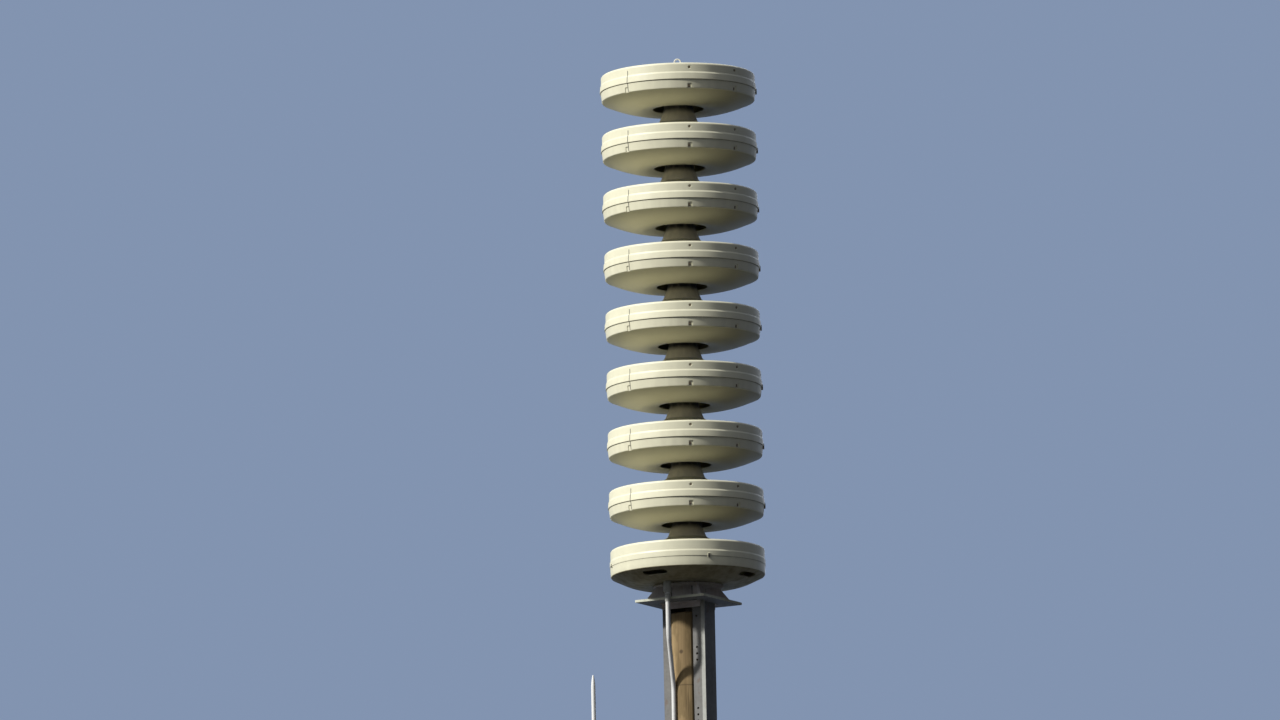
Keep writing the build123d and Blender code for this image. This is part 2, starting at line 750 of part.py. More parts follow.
with BuildPart() as conduit_fittings:
    pan_hub_foot = PAN_BOTTOM - PAN_HUB_LENGTH
    add(collar(0, CONDUIT_Y, pan_hub_foot, PAN_BOTTOM, PAN_HUB_R, CONDUIT_R))
    coupling_z = PLATE_BOTTOM + (PLATE_THICK - FITTING_LENGTH) / 2
    add(collar(0, CONDUIT_Y, coupling_z, coupling_z + FITTING_LENGTH, FITTING_R, CONDUIT_R))
    control_roof = roof_plane(CONTROL_BOTTOM, CONTROL_HEIGHT, CONTROL_DEPTH)
    hub_foot = CONTROL_TOP - CABINET_ROOF
    hub_top = CONTROL_TOP + HUB_LENGTH
    add(collar(ENTRY_X, ENTRY_Y, hub_foot, hub_top, HUB_R, CONDUIT_R, control_roof))
    battery_roof = roof_plane(BATTERY_BOTTOM, BATTERY_HEIGHT, BATTERY_DEPTH)
    nipple_foot = BATTERY_BOTTOM + BATTERY_HEIGHT - CABINET_ROOF
    add(collar(NIPPLE_X, ENTRY_Y, nipple_foot, CONTROL_BOTTOM, NIPPLE_R, 0, battery_roof))
save(conduit_fittings.part, "conduit_fittings")

# Whip antenna and the arm that holds it off the pole.
WHIP_BOTTOM = PLATE_BOTTOM - WHIP_TIP_BELOW_PLATE - WHIP_LENGTH
WHIP_TOP = WHIP_BOTTOM + WHIP_LENGTH
with BuildPart() as whip_antenna:
    with BuildSketch(Plane(origin=(WHIP_X, 0, 0), x_dir=(1, 0, 0), z_dir=(0, -1, 0))):
        with BuildLine():
            Polyline(
                (0, WHIP_BOTTOM),
                (FERRULE_R, WHIP_BOTTOM),
                (FERRULE_R, WHIP_BOTTOM + FERRULE_LENGTH),
                (WHIP_R, WHIP_BOTTOM + FERRULE_LENGTH + FERRULE_CONE),
                (WHIP_R, WHIP_TOP - WHIP_TIP_LENGTH),
                (WHIP_TIP_R, WHIP_TOP),
                (0, WHIP_TOP),
                close=True,
            )
        make_face()
    revolve(axis=Axis((WHIP_X, 0, 0), (0, 0, 1)))
save(whip_antenna.part, "whip_antenna")

with BuildPart() as antenna_arm:
    pad = Plane(origin=(-ARM_SEAT, 0, ARM_Z), x_dir=(0, 1, 0), z_dir=(-1, 0, 0))
    with BuildSketch(pad):
        Rectangle(ARM_PAD_WIDTH, ARM_PAD_HEIGHT)
    extrude(amount=ARM_PAD_THICK)
    with BuildSketch(pad.offset(ARM_PAD_THICK)):
        Rectangle(ARM_SIZE, ARM_SIZE)
    extrude(amount=-WHIP_X - ARM_SEAT - ARM_PAD_THICK)
    with BuildSketch(Plane(origin=(WHIP_X, 0, ARM_Z - ARM_CLAMP / 2))):
        Rectangle(ARM_CLAMP, ARM_CLAMP)
    extrude(amount=ARM_CLAMP)
    with BuildSketch(Plane.XZ):
        with BuildLine():
            foot = -ARM_SEAT - ARM_PAD_THICK / 2
            low = ARM_Z - ARM_PAD_HEIGHT / 2 + BRACE_FOOT
            under = ARM_Z - ARM_SIZE / 2
            Polyline(
                (foot, low),
                (foot - ARM_PAD_THICK / 2, low),
                (foot - BRACE_REACH, under),
                (foot - BRACE_REACH + BRACE_TOP_SHARE * BRACE_WIDTH, under),
                (foot, low + BRACE_FOOT_SHARE * BRACE_WIDTH),
                close=True,
            )
        make_face()
    extrude(amount=BRACE_THICK / 2, both=True)
    with BuildSketch(Plane(origin=(WHIP_X, 0, ARM_Z - ARM_CLAMP / 2))):
        Circle(FERRULE_R)
    extrude(amount=ARM_CLAMP, mode=Mode.SUBTRACT)
save(antenna_arm.part, "antenna_arm")
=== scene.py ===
"""Finish of the civil defence siren tower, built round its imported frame.

Sizes are metres in the tower's own frame: +Z runs up the pole, the sides of the square top plate
lie along X and Y, the feed conduit and the cabinets are on the -Y side. Angles are degrees from +X.
"""
import logging
import math
from abc import ABC, abstractmethod
from dataclasses import dataclass
from enum import Enum
from functools import cache, reduce
from typing import Iterable, Sequence

import bmesh
import bpy
from mathutils import Matrix, Vector, noise


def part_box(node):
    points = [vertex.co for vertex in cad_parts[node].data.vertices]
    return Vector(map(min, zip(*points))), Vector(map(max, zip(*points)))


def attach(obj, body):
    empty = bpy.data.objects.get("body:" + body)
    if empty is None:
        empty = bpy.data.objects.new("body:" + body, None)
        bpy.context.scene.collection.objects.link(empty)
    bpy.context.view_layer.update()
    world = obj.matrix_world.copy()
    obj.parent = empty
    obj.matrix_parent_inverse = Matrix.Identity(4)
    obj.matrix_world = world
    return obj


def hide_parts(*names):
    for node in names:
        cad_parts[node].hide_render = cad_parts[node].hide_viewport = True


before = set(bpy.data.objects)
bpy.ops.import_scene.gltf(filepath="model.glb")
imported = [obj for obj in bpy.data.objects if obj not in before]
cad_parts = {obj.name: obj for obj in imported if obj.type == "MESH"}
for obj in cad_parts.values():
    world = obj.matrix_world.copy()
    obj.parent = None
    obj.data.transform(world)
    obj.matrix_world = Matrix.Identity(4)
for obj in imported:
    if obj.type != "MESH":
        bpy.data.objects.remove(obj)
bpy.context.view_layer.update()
LOG = logging.getLogger("siren_tower")

Point = Sequence[float]
Run = tuple[Point, Point]
Colour = tuple[float, float, float]
Size = tuple[float, float, float]
Link = bpy.types.NodeSocket
Material = bpy.types.Material

HORN_COUNT = 8
VIEW_TURN = 29.0
FRONT = VIEW_TURN - 90.0
RAIL_INSET = 0.090
RAIL_SIDE = 0.041
SHEET_EDGE = 0.0008
FINE_EDGE = 0.0006
OUTWARD = Matrix.Rotation(math.radians(90), 4, "Y")


class Slot(Enum):
    """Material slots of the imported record."""

    SHELL = "cream_shell"
    NECK = "neck_shell"
    STEEL = "galvanised_steel"
    ZINC = "bright_zinc"
    WOOD = "treated_wood"
    CABINET = "cabinet_aluminium"
    RADOME = "white_radome"


@cache
def corners(node: str) -> tuple[Vector, Vector]:
    """Return the lowest and the highest corner of a node, looked up once."""
    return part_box(node)


def low(node: str) -> Vector:
    """Return the lowest corner of a node."""
    return corners(node)[0]


def high(node: str) -> Vector:
    """Return the highest corner of a node."""
    return corners(node)[1]


# Shaping


def facing(angle: float, radius: float, height: float) -> Matrix:
    """Place a piece on a cylinder about the pole's axis, its X pointing outward.

    Args:
        angle: direction from the axis, in degrees.
        radius: distance from the axis.
        height: height above the ground.

    Returns:
        The matrix that puts the piece there.
    """
    turn = Matrix.Rotation(math.radians(angle), 4, "Z")
    return turn @ Matrix.Translation((radius, 0.0, height))


def aligned(origin: Point, outward: Point) -> Matrix:
    """Place a piece on a flat wall.

    Args:
        origin: the point that the piece's own origin goes to.
        outward: direction that the piece's X points in, level with the ground.

    Returns:
        The matrix that puts the piece there, its Z still up.
    """
    angle = math.atan2(outward[1], outward[0])
    return Matrix.Translation(origin) @ Matrix.Rotation(angle, 4, "Z")


def from_front(angles: Iterable[float], radius: float, height: float) -> list[Matrix]:
    """Return seats on a round wall, at angles counted from the front."""
    return [facing(FRONT + angle, radius, height) for angle in angles]


class Outline:
    """Radius and height points of a turned shape, added one stretch at a time."""

    def __init__(self, radius: float, height: float) -> None:
        """Start the outline at a point."""
        self.points: list[Vector] = [Vector((radius, height))]

    def line(self, radius: float, height: float) -> "Outline":
        """Go straight to a point."""
        self.points.append(Vector((radius, height)))
        return self

    def curve(self, first: Point, second: Point, end: Point, steps: int) -> "Outline":
        """Go to a point along a cubic curve.

        Args:
            first: control point beside the start.
            second: control point beside the end.
            end: where the curve stops.
            steps: number of straight pieces.

        Returns:
            The outline, so that calls can follow each other.
        """
        controls = (self.points[-1], Vector(first), Vector(second), Vector(end))
        for i in range(1, steps + 1):
            t = i / steps
            s = 1 - t
            weights = (s**3, 3 * s * s * t, 3 * s * t * t, t**3)
            spot = sum((c * w for c, w in zip(controls, weights)), Vector((0.0, 0.0)))
            self.points.append(spot)
        return self

    def round(self, corner: Point, end: Point, steps: int = 4) -> "Outline":
        """Round a corner between the last point and the end.

        Args:
            corner: the sharp corner that the round takes away.
            end: where the round stops.
            steps: number of straight pieces.

        Returns:
            The outline, so that calls can follow each other.
        """
        blend = 0.5523
        first = self.points[-1].lerp(Vector(corner), blend)
        return self.curve(first, Vector(end).lerp(Vector(corner), blend), end, steps)

    def through(self, stops: Sequence[Point], first: Point, last: Point, steps: int) -> "Outline":
        """Go through points on one smooth curve.

        Args:
            stops: the points, in order.
            first: direction in which the curve leaves the last point so far.
            last: direction in which it reaches the last stop.
            steps: number of straight pieces between two points.

        Returns:
            The outline, so that calls can follow each other.
        """
        knots = [self.points[-1], *(Vector(stop) for stop in stops)]
        spans = [(b - a).length for a, b in zip(knots, knots[1:])]
        slopes = [Vector(first).normalized()]
        for i in range(1, len(knots) - 1):
            slopes.append((knots[i + 1] - knots[i - 1]) / (spans[i - 1] + spans[i]))
        slopes.append(Vector(last).normalized())
        for i, span in enumerate(spans):
            before = knots[i] + slopes[i] * span / 3
            after = knots[i + 1] - slopes[i + 1] * span / 3
            self.curve(before, after, knots[i + 1], steps)
        return self


class Shape:
    """A piece in the making: one bmesh in the tower's frame."""

    def __init__(self) -> None:
        """Start empty."""
        self.mesh = bmesh.new()

    def turn(
        self,
        outline: Outline,
        steps: int,
        centre: Point = (0.0, 0.0, 0.0),
        angle: float = 360.0,
        start: float = 0.0,
    ) -> "Shape":
        """Spin a closed outline about an upright axis.

        Args:
            outline: radius and height points, in order round the section.
            steps: number of flats in the turn.
            centre: a point on the axis.
            angle: how far to turn, in degrees.
            start: direction of the first section, in degrees.

        Returns:
            The shape, so that calls can follow each other.
        """
        whole = angle >= 360.0
        along = Vector((math.cos(math.radians(start)), math.sin(math.radians(start)), 0.0))
        foot = Vector(centre)
        verts = [
            self.mesh.verts.new(foot + along * radius + Vector((0.0, 0.0, height)))
            for radius, height in outline.points
        ]
        edges = [self.mesh.edges.new(pair) for pair in zip(verts, verts[1:] + verts[:1])]
        faces = [] if whole else [self.mesh.faces.new(verts)]
        bmesh.ops.spin(
            self.mesh,
            geom=verts + edges + faces,
            cent=centre,
            axis=(0.0, 0.0, 1.0),
            angle=math.radians(angle),
            steps=steps,
            use_merge=whole,
        )
        bmesh.ops.remove_doubles(self.mesh, verts=self.mesh.verts, dist=1e-6)
        bmesh.ops.dissolve_degenerate(self.mesh, dist=1e-7, edges=self.mesh.edges)
        return self

    def crisp(self, angle: float = 1.0) -> list[bmesh.types.BMEdge]:
        """Return the edges between faces that turn by more than an angle, in radians."""
        return [edge for edge in self.mesh.edges if edge.calc_face_angle(0.0) > angle]

    def soften(
        self, edges: Iterable[bmesh.types.BMEdge], width: float, segments: int = 2
    ) -> "Shape":
        """Round some edges.

        Args:
            edges: the edges to round.
            width: how far the round reaches along each face.
            segments: number of flats in the round.

        Returns:
            The shape, so that calls can follow each other.
        """
        bmesh.ops.bevel(
            self.mesh,
            geom=list(edges),
            offset=width,
            offset_type="OFFSET",
            segments=segments,
            profile=0.5,
            affect="EDGES",
            material=-1,
        )
        return self

    def block(self, size: Point, centre: Point, bevel: float = 0.0) -> "Shape":
        """Add a box.

        Args:
            size: length of each side.
            centre: middle of the box.
            bevel: width of its rounded edges.

        Returns:
            The shape, so that calls can follow each other.
        """
        place = Matrix.Translation(centre) @ Matrix.Diagonal((*size, 1.0))
        made = bmesh.ops.create_cube(self.mesh, size=1.0, matrix=place)
        if bevel:
            self.soften({edge for vert in made["verts"] for edge in vert.link_edges}, bevel)
        return self

    def box_of(self, node: str) -> "Shape":
        """Add a box as large as a node."""
        bottom, top = corners(node)
        return self.block(top - bottom, (top + bottom) / 2)

    def rod(
        self,
        radius: float,
        start: Point,
        end: Point,
        sides: int = 16,
        bevel: float = 0.0,
    ) -> "Shape":
        """Add a round or many-sided rod.

        Args:
            radius: radius to its corners.
            start: middle of the first end.
            end: middle of the other end.
            sides: number of sides.
            bevel: width of the rounded rim at the other end.

        Returns:
            The shape, so that calls can follow each other.
        """
        first, last = Vector(start), Vector(end)
        axis = last - first
        turned = axis.to_track_quat("Z", "Y").to_matrix().to_4x4()
        made = bmesh.ops.create_cone(
            self.mesh,
            cap_ends=True,
            segments=sides,
            radius1=radius,
            radius2=radius,
            depth=axis.length,
            matrix=Matrix.Translation((first + last) / 2) @ turned,
        )
        if bevel:
            rim = {
                edge
                for vert in made["verts"]
                for edge in vert.link_edges
                if all((v.co - last).dot(axis) > -1e-7 for v in edge.verts)
            }
            self.soften(rim, bevel)
        return self

    def bolt(self, across: float, place: Matrix, shank: float = 0.0) -> "Shape":
        """Add a washer and a hex head that stand out along the place's X.

        Args:
            across: width of the head across its flats.
            place: matrix of the seat, its X pointing out of the wall.
            shank: length of threaded end past the head.

        Returns:
            The shape, so that calls can follow each other.
        """
        part = Shape()
        washer = 0.1 * across
        head = washer + 0.62 * across
        part.rod(0.98 * across, (0, 0, 0), (washer, 0, 0), 20, washer * 0.3)
        part.rod(across / math.sqrt(3), (washer, 0, 0), (head, 0, 0), 6, 0.08 * across)
        if shank:
            part.rod(0.3 * across, (head, 0, 0), (head + shank, 0, 0), 12, 0.05 * across)
        return self.stamp(part, [place])

    def weld(self, runs: Iterable[Run], radius: float) -> "Shape":
        """Lay weld beads: drops that overlap from the start to the end of each run.

        Args:
            runs: first and last point of each bead.
            radius: about half the bead's width.

        Returns:
            The shape, so that calls can follow each other.
        """
        drop = Shape()
        bmesh.ops.create_icosphere(drop.mesh, subdivisions=1, radius=radius)
        places = []
        for start, end in runs:
            first, last = Vector(start), Vector(end)
            count = max(1, math.ceil((last - first).length / (0.9 * radius)))
            for i in range(count + 1):
                spot = first.lerp(last, i / count)
                swell = 1.0 + 0.25 * noise.noise(spot * 90.0)
                places.append(Matrix.Translation(spot) @ Matrix.Scale(swell, 4))
        return self.stamp(drop, places)

    def stamp(self, part: "Shape", places: Iterable[Matrix]) -> "Shape":
        """Add copies of another shape.

        Args:
            part: the shape that repeats.
            places: a matrix for each copy.

        Returns:
            The shape, so that calls can follow each other.
        """
        pattern = bpy.data.meshes.new("pattern")
        part.mesh.to_mesh(pattern)
        for place in places:
            copy = pattern.copy()
            copy.transform(place)
            self.mesh.from_mesh(copy)
            bpy.data.meshes.remove(copy)
        bpy.data.meshes.remove(pattern)
        return self

    def carve(self, cutter: "Shape") -> "Shape":
        """Cut another shape out of this one.

        Args:
            cutter: the closed shape that is taken away.

        Returns:
            The shape, so that calls can follow each other.
        """
        pieces = []
        for label, shape in (("carved", self), ("cutter", cutter)):
            bmesh.ops.recalc_face_normals(shape.mesh, faces=shape.mesh.faces)
            data = bpy.data.meshes.new(label)
            shape.mesh.to_mesh(data)
            pieces.append(bpy.data.objects.new(label, data))
            bpy.context.scene.collection.objects.link(pieces[-1])
        cut = pieces[0].modifiers.new("cut", "BOOLEAN")
        cut.operation, cut.solver, cut.object = "DIFFERENCE", "EXACT", pieces[1]
        carved = pieces[0].evaluated_get(bpy.context.evaluated_depsgraph_get())
        result = bpy.data.meshes.new_from_object(carved)
        self.mesh.clear()
        self.mesh.from_mesh(result)
        bpy.data.meshes.remove(result)
        for piece in pieces:
            bpy.data.meshes.remove(piece.data)
        return self

    def copy_node(self, node: str) -> "Shape":
        """Add a CAD node's mesh with its loose triangles joined.

        Args:
            node: the node.

        Returns:
            The shape, so that calls can follow each other.
        """
        self.mesh.from_mesh(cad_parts[node].data)
        bmesh.ops.remove_doubles(self.mesh, verts=self.mesh.verts, dist=2e-6)
        return self

    def save(
        self,
        name: str,
        material: Material,
        slot: Slot,
        replaces: Sequence[str] = (),
        sharp: float = 32.0,
        keep_normals: bool = False,
    ) -> bpy.types.Object:
        """Write the shape to an object that rides on the tower.

        Args:
            name: the piece's name.
            material: its finish.
            slot: the record's material slot that the finish belongs to; not used.
            replaces: CAD nodes that the piece stands for.
            sharp: edges turned by more than this many degrees stay crisp.
            keep_normals: leave the faces as they point.

        Returns:
            The finished object.
        """
        if not keep_normals:
            bmesh.ops.recalc_face_normals(self.mesh, faces=self.mesh.faces)
        data = bpy.data.meshes.new(name)
        self.mesh.to_mesh(data)
        self.mesh.free()
        data.polygons.foreach_set("use_smooth", [True] * len(data.polygons))
        data.set_sharp_from_angle(angle=math.radians(sharp))
        data.materials.append(material)
        piece = bpy.data.objects.new(name, data)
        bpy.context.scene.collection.objects.link(piece)
        even = piece.modifiers.new("even_shading", "WEIGHTED_NORMAL")
        even.keep_sharp = True
        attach(piece, "root")
        if replaces:
            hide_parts(*replaces)
        LOG.info("%s: %d faces", name, len(data.polygons))
        return piece


def smooth_copy(node: str, material: Material, slot: Slot) -> bpy.types.Object:
    """Replace a node by a copy with its triangles joined and its round faces smooth."""
    return Shape().copy_node(node).save(f"{node}_body", material, slot, [node], keep_normals=True)


def paint_underside_shade(piece: bpy.types.Object, material: Material, slope: float) -> None:
    """Give a second, darker finish to the faces that look down: painted shade.

    Args:
        piece: the piece, with its first finish.
        material: the darker finish of its underside, its painted shade.
        slope: faces whose normals' height is under this get it.
    """
    piece.data.materials.append(material)
    for face in piece.data.polygons:
        if face.normal.z < slope:
            face.material_index = 1


# Finishes


class Graph:
    """Short way to add nodes to one node tree."""

    def __init__(self, tree: bpy.types.NodeTree) -> None:
        """Keep the tree that the nodes go into."""
        self.tree = tree

    def put(self, socket: Link, value: object) -> None:
        """Link a socket to another, or set its value.

        Args:
            socket: the input.
            value: a link, a number, a vector or a colour.
        """
        if isinstance(value, bpy.types.NodeSocket):
            self.tree.links.new(value, socket)
        elif isinstance(value, tuple) and socket.type == "RGBA" and len(value) == 3:
            socket.default_value = (*value, 1.0)
        else:
            socket.default_value = value

    def node(
        self, kind: str, inputs: dict[str | int, object], **settings: object
    ) -> bpy.types.Node:
        """Add a node.

        Args:
            kind: the node's type name.
            inputs: value or link for each input, by name or number.
            settings: the node's own properties.

        Returns:
            The node.
        """
        made = self.tree.nodes.new(kind)
        for key, value in settings.items():
            setattr(made, key, value)
        for key, value in inputs.items():
            self.put(made.inputs[key], value)
        return made

    def math(self, operation: str, first: object, second: object = 0.0) -> Link:
        """Return the result of a Math node."""
        return self.node("ShaderNodeMath", {0: first, 1: second}, operation=operation).outputs[0]

    def add(self, *values: object) -> Link:
        """Return the sum of two or more values."""
        return reduce(lambda total, value: self.math("ADD", total, value), values)

    def times(self, *values: object) -> Link:
        """Return the product of two or more values."""
        return reduce(lambda total, value: self.math("MULTIPLY", total, value), values)

    def less(self, value: object) -> Link:
        """Return one less a value."""
        return self.math("SUBTRACT", 1.0, value)

    def ramp(self, value: object, start: float, end: float) -> Link:
        """Return a value eased from 0 at the start to 1 at the end."""
        inputs = {"Value": value, "From Min": start, "From Max": end}
        return self.node("ShaderNodeMapRange", inputs, interpolation_type="SMOOTHSTEP").outputs[0]

    def near(self, value: object, middle: float, reach: float) -> Link:
        """Return 1 where a value is at the middle, eased to 0 at the reach from it."""
        away = self.math("ABSOLUTE", self.math("SUBTRACT", value, middle))
        return self.less(self.ramp(away, 0.0, reach))

    def mix(self, factor: object, base: object, over: object) -> Link:
        """Mix two colours.

        Args:
            factor: 0 for the base alone, 1 for the other alone.
            base: the first colour.
            over: the other colour.

        Returns:
            The mixed colour.
        """
        made = self.node("ShaderNodeMix", {}, data_type="RGBA")
        for socket, value in ((0, factor), (6, base), (7, over)):
            self.put(made.inputs[socket], value)
        return made.outputs[2]

    def noise(self, vector: Link, scale: object, detail: float = 3.0) -> Link:
        """Return the value of a Noise Texture."""
        inputs = {"Vector": vector, "Scale": scale, "Detail": detail}
        return self.node("ShaderNodeTexNoise", inputs).outputs[0]

    def stretch(self, vector: Link, scale: Size) -> Link:
        """Return coordinates scaled by a Mapping node."""
        return self.node("ShaderNodeMapping", {"Vector": vector, "Scale": scale}).outputs[0]

    def grain(self, vector: Link, along: float, scale: float, detail: float) -> Link:
        """Return noise that is drawn out along the pole."""
        return self.noise(self.stretch(vector, (1.0, 1.0, along)), scale, detail)

    def bump(self, height: Link, depth: object, strength: float) -> Link:
        """Return the normal of a relief from its height."""
        inputs = {"Height": height, "Distance": depth, "Strength": strength}
        return self.node("ShaderNodeBump", inputs).outputs[0]

    def split(self, vector: Link) -> bpy.types.bpy_prop_collection:
        """Return the X, Y and Z of a vector."""
        return self.node("ShaderNodeSeparateXYZ", {"Vector": vector}).outputs

    def join(self, x: object, y: object, z: object) -> Link:
        """Return a vector made of three values."""
        return self.node("ShaderNodeCombineXYZ", {"X": x, "Y": y, "Z": z}).outputs[0]


@dataclass(frozen=True)
class Effect:
    """A surface effect that several finishes share, built once as a node group."""

    name: str
    inputs: dict[str, float]
    output: str = "Mask"
    kind: str = "NodeSocketFloat"

    def start(self) -> tuple[Graph, bpy.types.bpy_prop_collection]:
        """Make the group with its sockets.

        Returns:
            The group's graph and its inputs by name.
        """
        tree = bpy.data.node_groups.new(self.name, "ShaderNodeTree")
        tree.interface.new_socket("Vector", in_out="INPUT", socket_type="NodeSocketVector")
        for label, value in self.inputs.items():
            socket = tree.interface.new_socket(label, in_out="INPUT", socket_type="NodeSocketFloat")
            socket.default_value = value
        tree.interface.new_socket(self.output, in_out="OUTPUT", socket_type=self.kind)
        return Graph(tree), tree.nodes.new("NodeGroupInput").outputs

    def end(self, graph: Graph, result: Link) -> bpy.types.NodeTree:
        """Link the group's one output and return the group."""
        graph.put(graph.tree.nodes.new("NodeGroupOutput").inputs[self.output], result)
        return graph.tree


class Effects:
    """The shared node groups."""

    def __init__(self) -> None:
        """Build each group once."""
        self.streaks = self._streaks()
        self.mottle = self._mottle()
        self.relief = self._relief()

    @staticmethod
    def _streaks() -> bpy.types.NodeTree:
        """Build rain streaks: a mask of long soft runs down the surface."""
        effect = Effect("Rain Streaks", {"Width": 18.0, "Length": 1.2, "Cover": 0.5})
        graph, given = effect.start()
        part = graph.split(given["Vector"])
        across = [graph.times(part[axis], given["Width"]) for axis in ("X", "Y")]
        runs = graph.noise(graph.join(*across, graph.times(part["Z"], given["Length"])), 1.0, 4.0)
        edge = graph.times(graph.less(given["Cover"]), 0.7)
        return effect.end(graph, graph.ramp(graph.math("SUBTRACT", runs, edge), 0.0, 0.35))

    @staticmethod
    def _mottle() -> bpy.types.NodeTree:
        """Build mottling: broad and fine patches mixed into one mask."""
        effect = Effect("Mottle", {"Broad": 3.0, "Fine": 28.0})
        graph, given = effect.start()
        broad = graph.noise(given["Vector"], given["Broad"], 4.0)
        fine = graph.noise(given["Vector"], given["Fine"], 5.0)
        both = graph.add(graph.times(broad, 0.65), graph.times(fine, 0.35))
        return effect.end(graph, graph.ramp(both, 0.32, 0.68))

    @staticmethod
    def _relief() -> bpy.types.NodeTree:
        """Build surface relief: a normal from waves and grain of given scale and depth."""
        inputs = {"Wave": 8.0, "Grain": 160.0, "Depth": 0.0004}
        effect = Effect("Relief", inputs, "Normal", "NodeSocketVector")
        graph, given = effect.start()
        wave = graph.noise(given["Vector"], given["Wave"], 2.0)
        grain = graph.noise(given["Vector"], given["Grain"], 3.0)
        height = graph.add(graph.times(wave, 3.0), graph.times(grain, 0.5))
        return effect.end(graph, graph.bump(height, given["Depth"], 1.0))


class Surface(Graph):
    """A material in the making: its graph, its Principled shader and the shared effects."""

    def __init__(self, name: str, effects: Effects | None = None) -> None:
        """Start the material.

        Args:
            name: the finish's name.
            effects: the shared node groups, where the finish has any.
        """
        self.material = bpy.data.materials.new(name)
        self.material.use_nodes = True
        super().__init__(self.material.node_tree)
        self.shader = self.tree.nodes["Principled BSDF"]
        self.effects = effects
        self.where = self.tree.nodes.new("ShaderNodeTexCoord").outputs["Object"]

    def give(self, key: str, value: object) -> None:
        """Give one of the shader's inputs a value or a link."""
        self.put(self.shader.inputs[key], value)

    def use(self, effect: bpy.types.NodeTree, **inputs: float) -> Link:
        """Lay a shared effect over the surface.

        Args:
            effect: the effect's node group.
            inputs: its own values for this finish.

        Returns:
            The effect's output.
        """
        made = self.node("ShaderNodeGroup", {}, node_tree=effect)
        for key, value in {"Vector": self.where, **inputs}.items():
            self.put(made.inputs[key], value)
        return made.outputs[0]

    def mottle(self, broad: float, fine: float) -> Link:
        """Return a mask of patches, of a broad and a fine scale."""
        return self.use(self.effects.mottle, Broad=broad, Fine=fine)

    def streaks(self, width: float, length: float, cover: float) -> Link:
        """Return a mask of rain streaks of a scale across and along, and how much they cover."""
        return self.use(self.effects.streaks, Width=width, Length=length, Cover=cover)

    def relief(self, wave: float, grain: float, depth: float) -> None:
        """Raise waves and grain of two scales to a depth in metres."""
        self.give("Normal", self.use(self.effects.relief, Wave=wave, Grain=grain, Depth=depth))

    def disc_height(self, rim: float, pitch: float) -> Link:
        """Return the height over the rim of the disc that a spot belongs to."""
        above = self.math("SUBTRACT", self.split(self.where)["Z"], rim)
        return self.math("FLOORED_MODULO", above, pitch)


@dataclass(frozen=True)
class Coat(ABC):
    """A finish, known by its name."""

    name: str

    def build(self, effects: Effects) -> Material:
        """Build the finish.

        Args:
            effects: the shared node groups.

        Returns:
            The material.
        """
        made = Surface(self.name, effects)
        self.paint(made)
        return made.material

    @abstractmethod
    def paint(self, made: Surface) -> None:
        """Lay the finish on a surface in the making."""


@dataclass(frozen=True)
class ShellCoat(Coat):
    """Gel-coated glass fibre: rain streaks, dirt at the seam and rim, a darker underside that is
    partly dirt and partly painted shade, and painted shade on the crown near the neck.
    """

    coat: Colour
    grime_and_shade_tone: Colour
    rim: float
    pitch: float
    seam: float
    grime_and_shade_share: float = 0.5
    under_share: float = 0.8
    roughness: float = 0.4
    shine: float = 0.36
    grime_reach: float = 0.010

    def paint(self, made: Surface) -> None:
        """Lay the gel coat with its dirt, and the painted shade on its underside and on its crown.

        Args:
            made: the surface in the making.
        """
        part = made.split(made.where)
        across = made.join(part["X"], part["Y"], 0.0)
        reach = made.node("ShaderNodeVectorMath", {0: across}, operation="LENGTH").outputs["Value"]
        height = made.disc_height(self.rim, self.pitch)
        mottle, streaks = made.mottle(2.6, 30.0), made.streaks(26.0, 1.6, 0.55)
        worn = tuple(0.94 * c for c in self.coat)
        chalk = tuple(min(1.0, 1.02 * c) for c in self.coat)
        colour = made.mix(mottle, worn, chalk)
        seam_grime = made.times(made.near(height, self.seam, self.grime_reach), 0.22)
        rim_grime = made.times(made.less(made.ramp(height, 0.0, self.grime_reach)), 0.22)
        wall_runs = made.times(streaks, made.ramp(height, 0.16, 0.02), 0.14)
        # The underside darkens towards the khaki, more so towards the throat: partly dirt, partly
        # painted shade.
        under = made.ramp(height, self.pitch - 0.05, self.pitch - 0.045)
        inward = made.less(made.ramp(reach, 0.12, 0.38))
        underside_dust_and_shade = made.times(under, made.add(self.under_share, made.times(inward, 0.4)))
        # Painted shade: the crown darkens near the neck, under the disc above.
        top = made.times(made.ramp(height, 0.13, 0.15), made.less(under))
        painted_shade = made.times(top, inward, 0.8)
        grime_and_shade = made.add(seam_grime, rim_grime, wall_runs, underside_dust_and_shade, painted_shade)
        share = made.times(made.math("MINIMUM", grime_and_shade, 1.0), self.grime_and_shade_share)
        made.give("Base Color", made.mix(share, colour, self.grime_and_shade_tone))
        made.give("Specular IOR Level", made.add(self.shine, made.times(under, -0.31)))
        wear = made.add(made.times(share, 0.3), made.times(mottle, 0.08))
        made.give("Roughness", made.add(self.roughness, wear, made.times(under, -0.16)))
        made.relief(7.0, 220.0, 0.0003)


